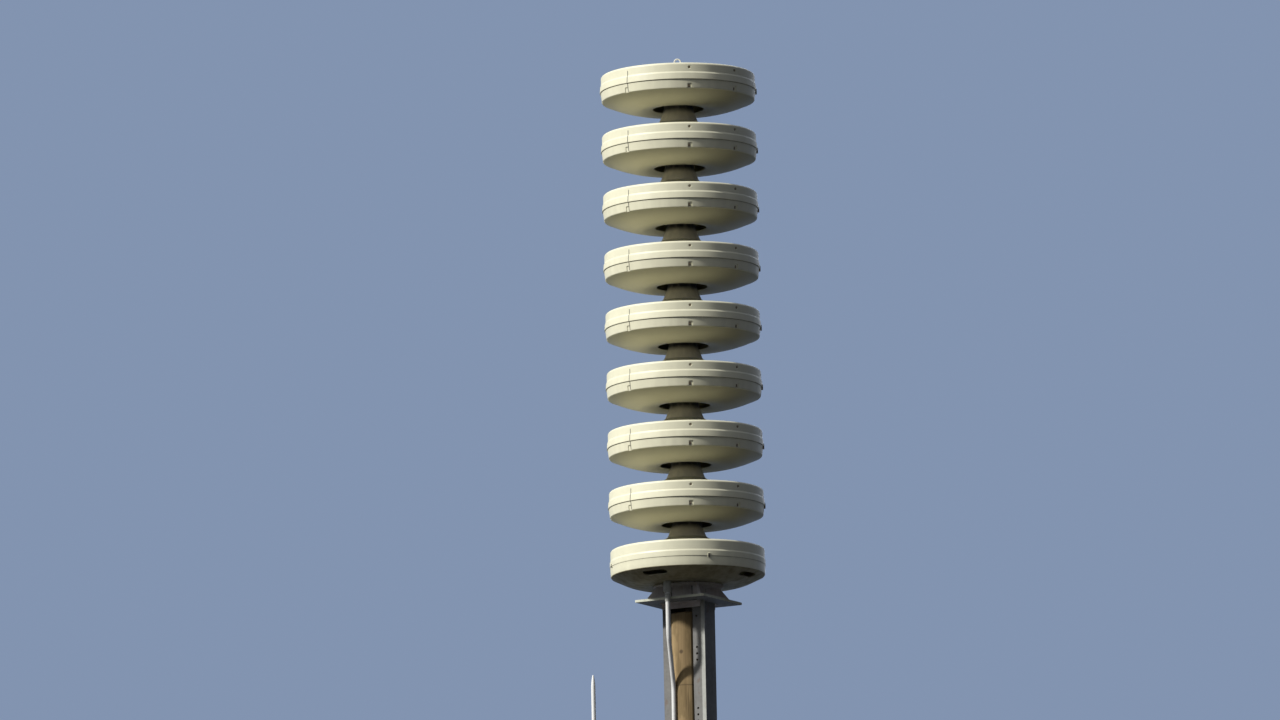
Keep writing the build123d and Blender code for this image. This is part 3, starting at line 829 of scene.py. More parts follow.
@dataclass(frozen=True)
class NeckCoat(Coat):
    """Gel coat of the necks: warm at the foot, darkened by painted shade up into the throat."""

    foot_tone: Colour
    throat_shade_and_marks: Colour
    rim: float
    pitch: float
    foot: float
    throat: float
    shine: float = 0.4

    def paint(self, made: Surface) -> None:
        """Lay the gel coat and darken it up into the throat with painted shade.

        Args:
            made: the surface in the making.
        """
        made.give("Specular IOR Level", self.shine)
        mottle, streaks = made.mottle(6.0, 50.0), made.streaks(45.0, 3.0, 0.6)
        # Painted shade: the neck darkens up into the throat; its patches and streaks also lean to
        # that dark tone.
        shade_up_throat = made.ramp(made.disc_height(self.rim, self.pitch), self.foot, self.throat)
        marks = made.add(made.times(mottle, 0.12), made.times(streaks, 0.1))
        share = made.math("MINIMUM", made.add(made.times(shade_up_throat, 0.85), marks), 1.0)
        made.give("Base Color", made.mix(share, self.foot_tone, self.throat_shade_and_marks))
        made.give("Roughness", made.add(0.5, made.times(mottle, 0.15)))
        made.relief(14.0, 220.0, 0.0003)


@dataclass(frozen=True)
class Zinc(Coat):
    """Zinc-coated steel: crystal spangle, dull patches, rain streaks and a little rust."""

    bright: Colour
    dull: Colour
    roughness: float
    rust: float
    metal: float = 0.0
    shine: float = 0.22
    spangle: float = 70.0
    rust_tone: Colour = (0.19, 0.085, 0.035)

    def paint(self, made: Surface) -> None:
        """Lay the zinc with its spangle, patches, streaks and rust.

        Args:
            made: the surface in the making.
        """
        made.give("Specular IOR Level", self.shine)
        cells = made.node("ShaderNodeTexVoronoi", {"Vector": made.where, "Scale": self.spangle})
        shade = made.node("ShaderNodeSeparateColor", {"Color": cells.outputs["Color"]}).outputs[0]
        mottle, streaks = made.mottle(5.0, 45.0), made.streaks(40.0, 1.5, 0.5)
        patches = made.add(made.times(shade, 0.3), made.times(mottle, 0.5))
        share = made.add(patches, made.times(streaks, 0.3))
        colour = made.mix(made.math("MINIMUM", share, 1.0), self.bright, self.dull)
        spots = made.noise(made.stretch(made.where, (1.0, 1.0, 0.45)), 34.0, 6.0)
        rusty = made.times(made.ramp(spots, 0.62, 0.72), self.rust)
        made.give("Base Color", made.mix(rusty, colour, self.rust_tone))
        made.give("Metallic", made.times(made.less(rusty), self.metal))
        wear = made.add(self.roughness, made.times(share, 0.18), made.times(rusty, 0.3))
        made.give("Roughness", wear)
        made.relief(30.0, 260.0, 0.00018)


@dataclass(frozen=True)
class PoleWood(Coat):
    """Round treated pole: long grain, checks, knots, preservative stain and a damp foot."""

    light: Colour
    dark: Colour
    stain: Colour
    split: Colour
    damp_foot: float = 0.2
    damp_top: float = 1.1
    whorl: float = 12.740
    knot_place: Size = (0.0068, -0.0968, 12.905)
    knot_core: float = 0.006
    knot_edge: float = 0.013
    shine: float = 0.25

    def paint(self, made: Surface) -> None:
        """Lay the grain, then stain, checks, knots, the whorl and the damp foot over it.

        Args:
            made: the surface in the making.
        """
        made.give("Specular IOR Level", self.shine)
        part = made.split(made.where)
        bent = made.grain(made.where, 0.25, 4.0, 2.0)
        sway = made.times(made.math("SUBTRACT", bent, 0.5), 0.05)
        swayed = made.join(made.add(part["X"], sway), made.add(part["Y"], sway), part["Z"])
        fine = made.grain(swayed, 0.03, 130.0, 6.0)
        broad = made.grain(swayed, 0.1, 11.0, 4.0)
        bands = made.grain(swayed, 0.02, 38.0, 3.0)
        fine_tone = made.times(made.ramp(fine, 0.35, 0.65), 0.5)
        tone = made.add(fine_tone, made.times(made.ramp(bands, 0.38, 0.62), 0.5))
        blotch = made.grain(made.where, 0.35, 26.0, 3.0)
        checks = made.grain(swayed, 0.012, 55.0, 2.0)
        patches = made.grain(made.where, 0.3, 6.0, 2.0)
        check = made.times(made.near(checks, 0.5, 0.012), made.ramp(patches, 0.5, 0.6))
        spots = {
            "Vector": made.stretch(made.where, (1.0, 1.0, 0.42)), "Scale": 3.4, "Randomness": 1.0
        }
        knots = made.node("ShaderNodeTexVoronoi", spots).outputs["Distance"]
        knot = made.less(made.ramp(knots, 0.045, 0.085))
        level = made.add(part["Z"], made.times(bent, 0.02))
        pale = made.near(level, self.whorl + 0.045, 0.035)
        pale = made.times(pale, made.ramp(broad, 0.35, 0.6))
        apart = {0: made.where, 1: self.knot_place}
        away = made.node("ShaderNodeVectorMath", apart, operation="DISTANCE").outputs["Value"]
        edge = made.add(part["Z"], made.times(broad, 0.8))
        layers = (
            (made.ramp(broad, 0.40, 0.66), 0.65, self.stain),
            (made.ramp(blotch, 0.46, 0.60), 0.6, self.stain),
            (check, 0.85, self.split),
            (made.near(knots, 0.10, 0.05), 0.3, self.dark),
            (knot, 0.8, self.split),
            (pale, 0.35, self.light),
            (made.near(level, self.whorl + 0.010, 0.005), 0.55, self.split),
            (made.less(made.ramp(away, self.knot_core, self.knot_edge)), 0.75, self.split),
            (made.less(made.ramp(edge, self.damp_foot, self.damp_top)), 0.7, self.stain),
        )
        colour = made.mix(tone, self.dark, self.light)
        for mask, share, over in layers:
            colour = made.mix(made.times(mask, share), colour, over)
        made.give("Base Color", colour)
        made.give("Roughness", made.add(0.68, made.times(fine, 0.2)))
        ridges = made.add(fine, made.times(bands, 0.8))
        height = made.add(ridges, made.times(check, -1.5), made.times(knot, 0.6))
        made.give("Normal", made.bump(height, 0.0016, 0.9))


@dataclass(frozen=True)
class EvenCoat(Coat):
    """A plain coat, such as paint, rubber or moulded plastic, with patches, streaks and relief."""

    colour: Colour
    dirt: Colour
    dirt_share: float
    roughness: float
    metal: float = 0.0
    depth: float = 0.00015
    grain: float = 300.0
    shine: float = 0.4

    def paint(self, made: Surface) -> None:
        """Lay the coat with its patches and streaks.

        Args:
            made: the surface in the making.
        """
        made.give("Metallic", self.metal)
        made.give("Specular IOR Level", self.shine)
        mottle, streaks = made.mottle(4.0, 40.0), made.streaks(30.0, 1.4, 0.5)
        share = made.add(made.times(mottle, 0.4), made.times(streaks, 0.6))
        share = made.times(share, self.dirt_share)
        made.give("Base Color", made.mix(share, self.colour, self.dirt))
        made.give("Roughness", made.add(self.roughness, made.times(share, 0.3)))
        made.relief(12.0, self.grain, self.depth)


@dataclass(frozen=True)
class Finishes:
    """Every finish on the tower."""

    shell: Material
    base_shell: Material
    neck: Material
    steel: Material
    edge_steel: Material
    bounce_lit_steel: Material
    plate_steel: Material
    pan: Material
    zinc: Material
    fixing: Material
    wood: Material
    seal: Material
    shadow: Material
    eye: Material
    cabinet: Material
    radome: Material

    @classmethod
    def make(cls, horn: "ShellForm", base: "ShellForm") -> "Finishes":
        """Build each finish once.

        Args:
            horn: the form of the horn discs, whose rims and seams the dirt and the painted shade
                follow.
            base: the form of the base disc.

        Returns:
            The finishes.
        """
        rim = horn.rim(f"horn_{HORN_COUNT}_cover")
        pitch = horn.rim(f"horn_{HORN_COUNT - 1}_cover") - rim
        no_repeat = 2.0
        # The khaki tints the dirt and the painted shade under the discs; the near-black third tone
        # is the painted shade up in the necks' throats.
        cream, khaki, painted_shade = (0.85, 0.83, 0.63), (0.205, 0.18, 0.13), (0.020, 0.018, 0.014)
        coats = {
            "shell": ShellCoat("cream_gel_coat", cream, khaki, rim, pitch, horn.seam),
            "base_shell": ShellCoat(
                "base_gel_coat", cream, khaki, base.rim("base_cover"), no_repeat, base.seam
            ),
            "neck": NeckCoat(
                "neck_gel_coat", (0.88, 0.81, 0.64), painted_shade, rim, pitch, foot=0.222, throat=0.256
            ),
            "steel": Zinc(
                "dull_galvanised", (0.26, 0.258, 0.248), (0.18, 0.177, 0.17),
                roughness=0.58, rust=0.3,
            ),
            "edge_steel": Zinc(
                "pale_galvanised", (0.51, 0.52, 0.49), (0.38, 0.39, 0.36),
                roughness=0.48, rust=0.15,
            ),
            # A lighter copy of the dull galvanised steel: painted bounce light for the column, the
            # gussets and the cross angles, which stand in shade under the base disc.
            "bounce_lit_steel": Zinc(
                "galvanised_painted_bounce", (0.86, 0.82, 0.84), (0.62, 0.58, 0.60),
                roughness=0.6, rust=0.2,
            ),
            "plate_steel": Zinc(
                "plate_galvanised", (0.80, 0.82, 0.70), (0.58, 0.60, 0.48),
                roughness=0.6, rust=0.2,
            ),
            # Painted shade: a darker olive coat for the pan's dished underside, with dirt patches
            # and streaks over it.
            "pan": EvenCoat(
                "pan_underside_shade", (0.42, 0.38, 0.25), (0.20, 0.175, 0.10),
                dirt_share=0.8, roughness=0.5, depth=0.0003, shine=0.12,
            ),
            "zinc": Zinc(
                "bright_galvanised", (0.92, 0.92, 0.90), (0.74, 0.74, 0.72),
                roughness=0.33, rust=0.08, metal=0.05,
            ),
            "fixing": Zinc(
                "fixing_zinc", (0.55, 0.55, 0.52), (0.34, 0.33, 0.30),
                roughness=0.34, rust=0.5, metal=0.7,
            ),
            "wood": PoleWood(
                "treated_pole",
                light=(0.41, 0.298, 0.155),
                dark=(0.26, 0.18, 0.09),
                stain=(0.17, 0.12, 0.055),
                split=(0.06, 0.038, 0.022),
            ),
            "seal": EvenCoat(
                "seam_sealant", (0.30, 0.24, 0.16), (0.16, 0.125, 0.08),
                dirt_share=0.6, roughness=0.7,
            ),
            # Dark rubber for the door seals, rail caps and clasp screws; elsewhere the same dark
            # coat is painted shadow in joints, a slot, splits and louvre mouths.
            "shadow": EvenCoat(
                "dark_rubber_and_painted_shadow", (0.070, 0.062, 0.050), (0.11, 0.10, 0.075),
                dirt_share=0.5, roughness=0.6,
            ),
            "eye": EvenCoat(
                "eye_coat", (0.86, 0.86, 0.78), (0.55, 0.50, 0.40),
                dirt_share=0.3, roughness=0.35,
            ),
            "cabinet": EvenCoat(
                "cabinet_sheet", (0.60, 0.61, 0.60), (0.36, 0.35, 0.31),
                dirt_share=0.35, roughness=0.36, metal=0.35, depth=0.0002,
            ),
            "radome": EvenCoat(
                "radome_white", (0.94, 0.95, 0.94), (0.80, 0.80, 0.76),
                dirt_share=0.2, roughness=0.3,
            ),
        }
        effects = Effects()
        return cls(**{name: coat.build(effects) for name, coat in coats.items()})


# Sub-assemblies


@dataclass(frozen=True)
class Assembly(ABC):
    """A sub-assembly of the tower, with the finishes that its pieces wear."""

    finishes: Finishes

    @abstractmethod
    def build(self) -> None:
        """Build every piece of the sub-assembly."""


@dataclass(frozen=True)
class ShellForm:
    """Sizes of a disc's upper shell, as heights above its rim and radii."""

    band: float
    top: float
    seam_radius: float
    seam: float
    rib: float
    rib_radius: float
    wall: float = 0.005
    corner: float = 0.012
    step: float = 0.0075
    lip: float = 0.0012
    gap: float = 0.0014
    crown_round: float = 0.0026
    middle_share: float = 0.48
    middle_rise: float = 0.33
    neck_foot: float = 0.096
    neck_rise: float = 0.060
    cap_radius: float = 0.084
    cap_rise: float = 0.040
    flats: int = 132

    def rim(self, node: str) -> float:
        """Return the height of the rim of the disc that a cover belongs to."""
        return low(node).z - self.seam

    def cover(self, crown: bool) -> Shape:
        """Turn the upper shell.

        Args:
            crown: whether the shell closes over the axis with a flat cap, or ends at the neck.

        Returns:
            The shell, its rim at zero.
        """
        top, seam = self.band, self.seam + self.gap / 2
        shoulder = self.top - self.corner
        foot, rise = self.neck_foot, self.neck_rise
        if crown:
            foot, rise = self.cap_radius, self.cap_rise
        middle = foot + self.middle_share * (shoulder - foot)
        level = top + self.middle_rise * rise
        over = Outline(0.0 if crown else foot, top + rise)
        if crown:
            edge = self.crown_round
            over.line(foot - edge, top + rise)
            over.round((foot, top + rise), (foot + edge, top + rise - 0.6 * edge), 3)
        over.through([(middle, level), (shoulder, top)], (0.85, -0.5), (1.0, -0.08), 12)
        over.round((self.top, top), (self.top, top - self.corner), 7)
        over.line(self.top, self.rib + self.step + 0.001)
        over.line(self.top + 0.0003, self.rib + self.step)
        over.line(self.rib_radius - 0.0004, self.rib + 0.0007)
        over.line(self.rib_radius, self.rib - 0.0006)
        over.line(self.seam_radius, seam + self.lip)
        over.round((self.seam_radius, seam), (self.seam_radius - self.lip, seam), 3)
        over.line(self.top - self.wall, seam)
        over.line(self.top - self.wall, top - self.corner)
        over.line(shoulder, top - self.wall)
        back = [(middle, level - self.wall), (foot, top + rise - self.wall)]
        over.through(back, (-1.0, 0.08), (-0.85, 0.5), 8)
        if crown:
            over.line(0.0, top + rise - self.wall)
        return Shape().turn(over, self.flats)

    def seal(self, reach: float, below: float) -> Shape:
        """Turn the sealant that shows in the seam.

        Args:
            reach: radius of the sealant's outer face.
            below: top of the lower shell.

        Returns:
            The ring, the disc's rim at zero.
        """
        top = self.seam + self.gap / 2 + 0.0002
        ring = Outline(reach, below).line(reach, top)
        ring.line(reach - self.wall, top).line(reach - self.wall, below)
        return Shape().turn(ring, self.flats)


@dataclass(frozen=True)
class SeamFastener:
    """What holds a horn disc's shells: sunk screws above, sunk pockets below, clips on the seam."""

    cup_mouth: float = 0.0080
    cup_floor: float = 0.0054
    cup_depth: float = 0.0038
    cup_height: float = 0.104
    screw_radius: float = 0.0036
    screw_proud: float = -0.0010
    pocket_low: float = -0.0030
    pocket_width: float = 0.021
    pocket_height: float = 0.029
    pocket_depth: float = 0.0042
    pocket_round: float = 0.0035
    slot_long: float = 0.0052
    slot_wide: float = 0.0008
    nut_radius: float = 0.0042
    stud_radius: float = 0.0024
    clip_size: Size = (0.009, 0.013, 0.026)
    clip_proud: float = 0.0025
    margin: float = 0.002

    def cup(self) -> Shape:
        """Make the hollow round a screw.

        Returns:
            The hollow, its origin on the wall and its axis along X.
        """
        slope = (self.cup_mouth - self.cup_floor) / self.cup_depth
        hollow = Outline(0.0, -self.cup_depth).line(self.cup_floor, -self.cup_depth)
        hollow.line(self.cup_mouth + slope * self.margin, self.margin).line(0.0, self.margin)
        made = Shape().turn(hollow, 28)
        bmesh.ops.transform(made.mesh, matrix=OUTWARD, verts=made.mesh.verts)
        return made

    def screw(self) -> Shape:
        """Make the screw at the foot of the hollow, with its cross slot.

        Returns:
            The screw, placed as its hollow is.
        """
        seat, tip = -self.cup_depth - 0.0004, self.screw_proud
        head = Shape().rod(self.screw_radius, (seat, 0, 0), (tip, 0, 0), 20, 0.0008)
        head.rod(self.cup_floor, (seat, 0, 0), (seat + 0.0012, 0, 0), 24, 0.0003)
        head.block((0.0004, self.slot_long, self.slot_wide), (tip, 0, 0), 0.0001)
        return head.block((0.0004, self.slot_wide, self.slot_long), (tip, 0, 0), 0.0001)

    def pocket(self) -> Shape:
        """Make the hollow of the pocket.

        Returns:
            The hollow, its origin at the foot of the wall.
        """
        depth, tall = self.pocket_depth + self.margin, self.pocket_height
        middle = (self.margin - depth / 2, 0, tall / 2)
        made = Shape().block((depth, self.pocket_width, tall), middle)
        corners_above = [
            edge
            for edge in made.mesh.edges
            if all(vert.co.z > tall / 2 for vert in edge.verts)
            and abs(edge.verts[0].co.x - edge.verts[1].co.x) > self.margin
        ]
        return made.soften(corners_above, self.pocket_round, 4)

    def nut(self) -> Shape:
        """Make the dark pad, painted shadow on the pocket's floor, and the nut at the back of the
        pocket.

        Returns:
            The pad and the nut, placed as their pocket is.
        """
        seat, level = -self.pocket_depth - 0.0002, 0.52 * self.pocket_height
        aside = -0.18 * self.pocket_width
        # Painted shadow: the pad darkens the left of the pocket's floor, where its left wall casts
        # shade.
        pad = (0.0012, 0.56 * self.pocket_width, 0.5 * self.pocket_height)
        back = (seat, aside, level)
        made = Shape().block(pad, back, 0.0003)
        made.rod(self.nut_radius, back, (seat + 0.0024, aside, level), 6, 0.0004)
        return made.rod(self.stud_radius, back, (self.screw_proud, aside, level), 14, 0.0003)

    def clip(self) -> Shape:
        """Return the clip that bridges the seam, its origin on the seam."""
        return Shape().block(self.clip_size, (self.clip_proud - self.clip_size[0] / 2, 0, 0), 0.001)


@dataclass(frozen=True)
class HornStack(Assembly):
    """The eight horn discs with their necks, seams and fasteners."""

    form: ShellForm
    fastener: SeamFastener = SeamFastener()
    bowl_radius: float = 0.378
    rim_radius: float = 0.373
    rim_out: float = 0.0002
    rim_in: float = 0.005
    rim_up: float = 0.0035
    dish: float = 0.046
    dish_radius: float = 0.205
    dish_middle: float = 0.66
    throat: float = 0.126
    throat_depth: float = 0.039
    neck: float = 0.070
    neck_wall: float = 0.004
    neck_run: float = 0.074
    neck_flats: int = 96
    bead_rise: float = 0.0055
    lip: float = 0.0026
    fastener_angles: tuple[float, ...] = (-41.7, 8.8, 47.5, 91.0, 139.0, 187.5, 227.5, 271.0)
    joint_angles: tuple[float, ...] = (-41.7, 139.0)
    joint_aside: float = 1.1
    joint_sweep: float = 0.56
    joint_short: float = 0.010
    drift: float = -0.75
    clip_angles: tuple[float, ...] = (92.0, 228.0)
    notch_angles: tuple[float, ...] = (-92.0, 91.0)
    notch_reach: float = 0.152
    notch_slope: float = 0.12
    notch_sweep: float = 1.2

    def rim(self, number: int) -> float:
        """Return the height of a disc's rim."""
        return self.form.rim(f"horn_{number}_cover")

    def build(self) -> None:
        """Build every disc, the top one first."""
        held = [angle for angle in self.fastener_angles if angle not in self.joint_angles]
        cups = from_front(held, self.form.top, self.fastener.cup_height)
        closed, plain, bowl = self.form.cover(True), self.form.cover(False), self.bowl()
        for cover in (closed, plain):
            cover.carve(Shape().stamp(self.fastener.cup(), cups))
        pockets = self.pocket_seats(self.fastener_angles)
        bowl.carve(Shape().stamp(self.fastener.pocket(), pockets))
        below = self.form.seam - self.form.gap / 2
        seal = self.form.seal(self.bowl_radius - 0.0005, below)
        screws = Shape().stamp(self.fastener.screw(), cups)
        screws.stamp(self.fastener.nut(), self.pocket_seats(held))
        clips = from_front(self.clip_angles, self.form.seam_radius, self.form.seam)
        screws.stamp(self.fastener.clip(), clips)
        for number in range(1, HORN_COUNT + 1):
            up = [facing(self.drift * (number - 1), 0.0, self.rim(number))]
            for part, shell in (("cover", closed if number == 1 else plain), ("bowl", bowl)):
                Shape().stamp(shell, up).save(
                    f"horn_{part}_{number}",
                    self.finishes.shell,
                    Slot.SHELL,
                    [f"horn_{number}_{part}"],
                )
            Shape().stamp(seal, up).save(f"horn_seal_{number}", self.finishes.seal, Slot.SHELL)
            Shape().stamp(screws, up).save(
                f"horn_screws_{number}", self.finishes.seal, Slot.ZINC
            )
            self.riser(number)
            # The joint strips are painted shadow in the open joints of the half shells.
            self.marks(number).save(f"horn_joint_{number}", self.finishes.shadow, Slot.SHELL)

    def bowl(self) -> Shape:
        """Turn the lower shell with its dished underside.

        Returns:
            The shell, its rim at zero.
        """
        wall, top = self.form.wall, self.form.seam - self.form.gap / 2
        rim = self.rim_radius - self.rim_in
        middle, level = (rim + self.dish_radius) / 2, -self.dish_middle * self.dish
        low_point, mouth = (self.dish_radius, -self.dish), (self.throat, -self.throat_depth)
        under = Outline(self.bowl_radius - 0.0006, top)
        under.round((self.bowl_radius, top), (self.bowl_radius - 0.0001, top - 0.0006), 2)
        under.line(self.rim_radius + self.rim_out, self.rim_up)
        under.round((self.rim_radius, 0.0), (rim, 0.0), 4)
        under.through([(middle, level), low_point, mouth], (-1.0, -0.42), (-1.0, 0.25), 9)
        lip = self.throat - self.lip
        under.round((lip, mouth[1]), (lip, mouth[1] + wall / 2), 3)
        under.round((lip, mouth[1] + wall), (self.throat, mouth[1] + wall), 3)
        back = [(low_point[0], low_point[1] + wall), (middle, level + wall), (rim - wall / 2, wall)]
        under.through(back, (1.0, -0.25), (1.0, 0.42), 5)
        under.line(self.bowl_radius - wall, top)
        return Shape().turn(under, self.form.flats)

    def riser(self, number: int) -> None:
        """Build the flared neck that runs up into a disc, and the bead round its foot.

        Args:
            number: the disc's number, the top one being 1.
        """
        node = f"horn_{number}_neck"
        bottom, top = (corner.z for corner in corners(node))
        foot, wide = bottom + self.form.wall, self.form.neck_foot
        throat = foot + self.neck_run
        inside = self.neck - self.neck_wall
        flare = Outline(wide, foot)
        flare.through([(self.neck, throat)], (-0.4, 1.0), (-0.2, 1.0), 12)
        flare.line(self.neck, top).line(inside, top).line(inside, throat)
        flare.through([(wide - self.neck_wall, foot)], (0.2, -1.0), (0.4, -1.0), 6)
        flare.line(0.0, foot).line(0.0, bottom).line(wide, bottom)
        made = Shape().turn(flare, self.neck_flats)
        bead = Outline(wide - 0.003, foot + 0.001)
        bead.round((wide - 0.001, foot + self.bead_rise), (wide + 0.0035, foot - 0.0005), 4)
        bead.line(wide + 0.003, foot - 0.004).line(wide - 0.003, foot - 0.004)
        made.turn(bead, self.neck_flats)
        made.save(f"horn_neck_{number}", self.finishes.neck, Slot.NECK, [node])

    def pocket_seats(self, angles: Iterable[float]) -> list[Matrix]:
        """Return where pockets sit on the leaning lower wall, from a disc's rim.

        Args:
            angles: the pockets' angles from the front.

        Returns:
            A matrix for each of them.
        """
        rise = self.form.seam - self.rim_up
        lean = Matrix.Rotation(math.atan2(self.bowl_radius - self.rim_radius, rise), 4, "Y")
        foot = self.rim_radius + self.rim_out
        return [seat @ lean for seat in from_front(angles, foot, self.fastener.pocket_low)]

    def marks(self, number: int) -> Shape:
        """Return a disc's dark marks: strips of painted shadow in the open joints of its half
        shells, and the ticks at its throat.

        Args:
            number: the disc's number, the top one being 1.

        Returns:
            The marks, at the disc's own height.
        """
        form, rim = self.form, self.rim(number)
        proud, sunk = 0.0003, -0.0012
        lower = [(self.rim_radius, self.rim_up), (self.bowl_radius, form.seam - 0.002)]
        upper = [
            (form.seam_radius - 0.0002, form.seam + form.gap + form.lip),
            (form.rib_radius, form.rib),
            (form.top, form.rib + form.step + 0.0006),
            (form.top, form.band - form.corner - self.joint_short),
        ]
        made = Shape()
        for wall in (lower, upper):
            line = Outline(wall[0][0] + proud, rim + wall[0][1])
            for radius, height in wall[1:]:
                line.line(radius + proud, rim + height)
            for radius, height in reversed(wall):
                line.line(radius + sunk, rim + height)
            for angle in self.joint_angles:
                turn = FRONT + angle + self.joint_aside + self.drift * (number - 1)
                made.turn(line, 2, angle=self.joint_sweep, start=turn)
        dip = -self.throat_depth - self.notch_slope * (self.notch_reach - self.throat)
        notch = Outline(self.throat, rim - self.throat_depth - proud)
        notch.line(self.notch_reach, rim + dip - 3 * proud).line(self.notch_reach, rim + dip - sunk)
        notch.line(self.throat, rim - self.throat_depth - sunk)
        for angle in self.notch_angles:
            made.turn(notch, 2, angle=self.notch_sweep, start=FRONT + angle)
        return made


@dataclass(frozen=True)
class BaseDisc(Assembly):
    """The straight-sided disc under the stack, with its pan."""

    form: ShellForm
    pan_radius: float = 0.377
    clasp_angles: tuple[float, ...] = (-77.0, 16.0, 105.0, 195.0)
    clasp_size: Size = (0.003, 0.014, 0.020)
    clasp_slot: Size = (0.0018, 0.009, 0.007)
    clasp_screw: float = 0.006
    underside_slope: float = -0.3

    def build(self) -> None:
        """Build the disc."""
        up = [Matrix.Translation((0.0, 0.0, self.form.rim("base_cover")))]
        Shape().stamp(self.form.cover(False), up).save(
            "base_disc_cover", self.finishes.base_shell, Slot.SHELL, ["base_cover"]
        )
        seal = self.form.seal(self.pan_radius - 0.0008, self.form.seam - 0.0002)
        Shape().stamp(seal, up).save("base_seal", self.finishes.seal, Slot.SHELL)
        self.pan()
        self.clasps()

    def pan(self) -> None:
        """Dress the pan: cream wall outside, and a darker coat on the dished underside that is
        painted shade with some dirt.
        """
        piece = smooth_copy("base_pan", self.finishes.base_shell, Slot.SHELL)
        paint_underside_shade(piece, self.finishes.pan, self.underside_slope)

    def clasps(self) -> None:
        """Build the small clasps that hold the pan to the cover."""
        plate, slot_shadow_and_screw = Shape(), Shape()
        plate.block(self.clasp_size, (0.0, 0, 0.004), SHEET_EDGE)
        # Painted shadow: a dark block stands in the clasp's slot, its screw below it.
        slot_shadow_and_screw.block(self.clasp_slot, (0.0012, 0, 0.008), 0.0004)
        slot_shadow_and_screw.bolt(self.clasp_screw, Matrix.Translation((0.0012, 0, -0.001)))
        level = self.form.rim("base_cover") + self.form.seam
        places = from_front(self.clasp_angles, self.form.seam_radius, level)
        Shape().stamp(plate, places).save("base_clasps", self.finishes.base_shell, Slot.SHELL)
        Shape().stamp(slot_shadow_and_screw, places).save("base_clasp_screws", self.finishes.shadow, Slot.ZINC)


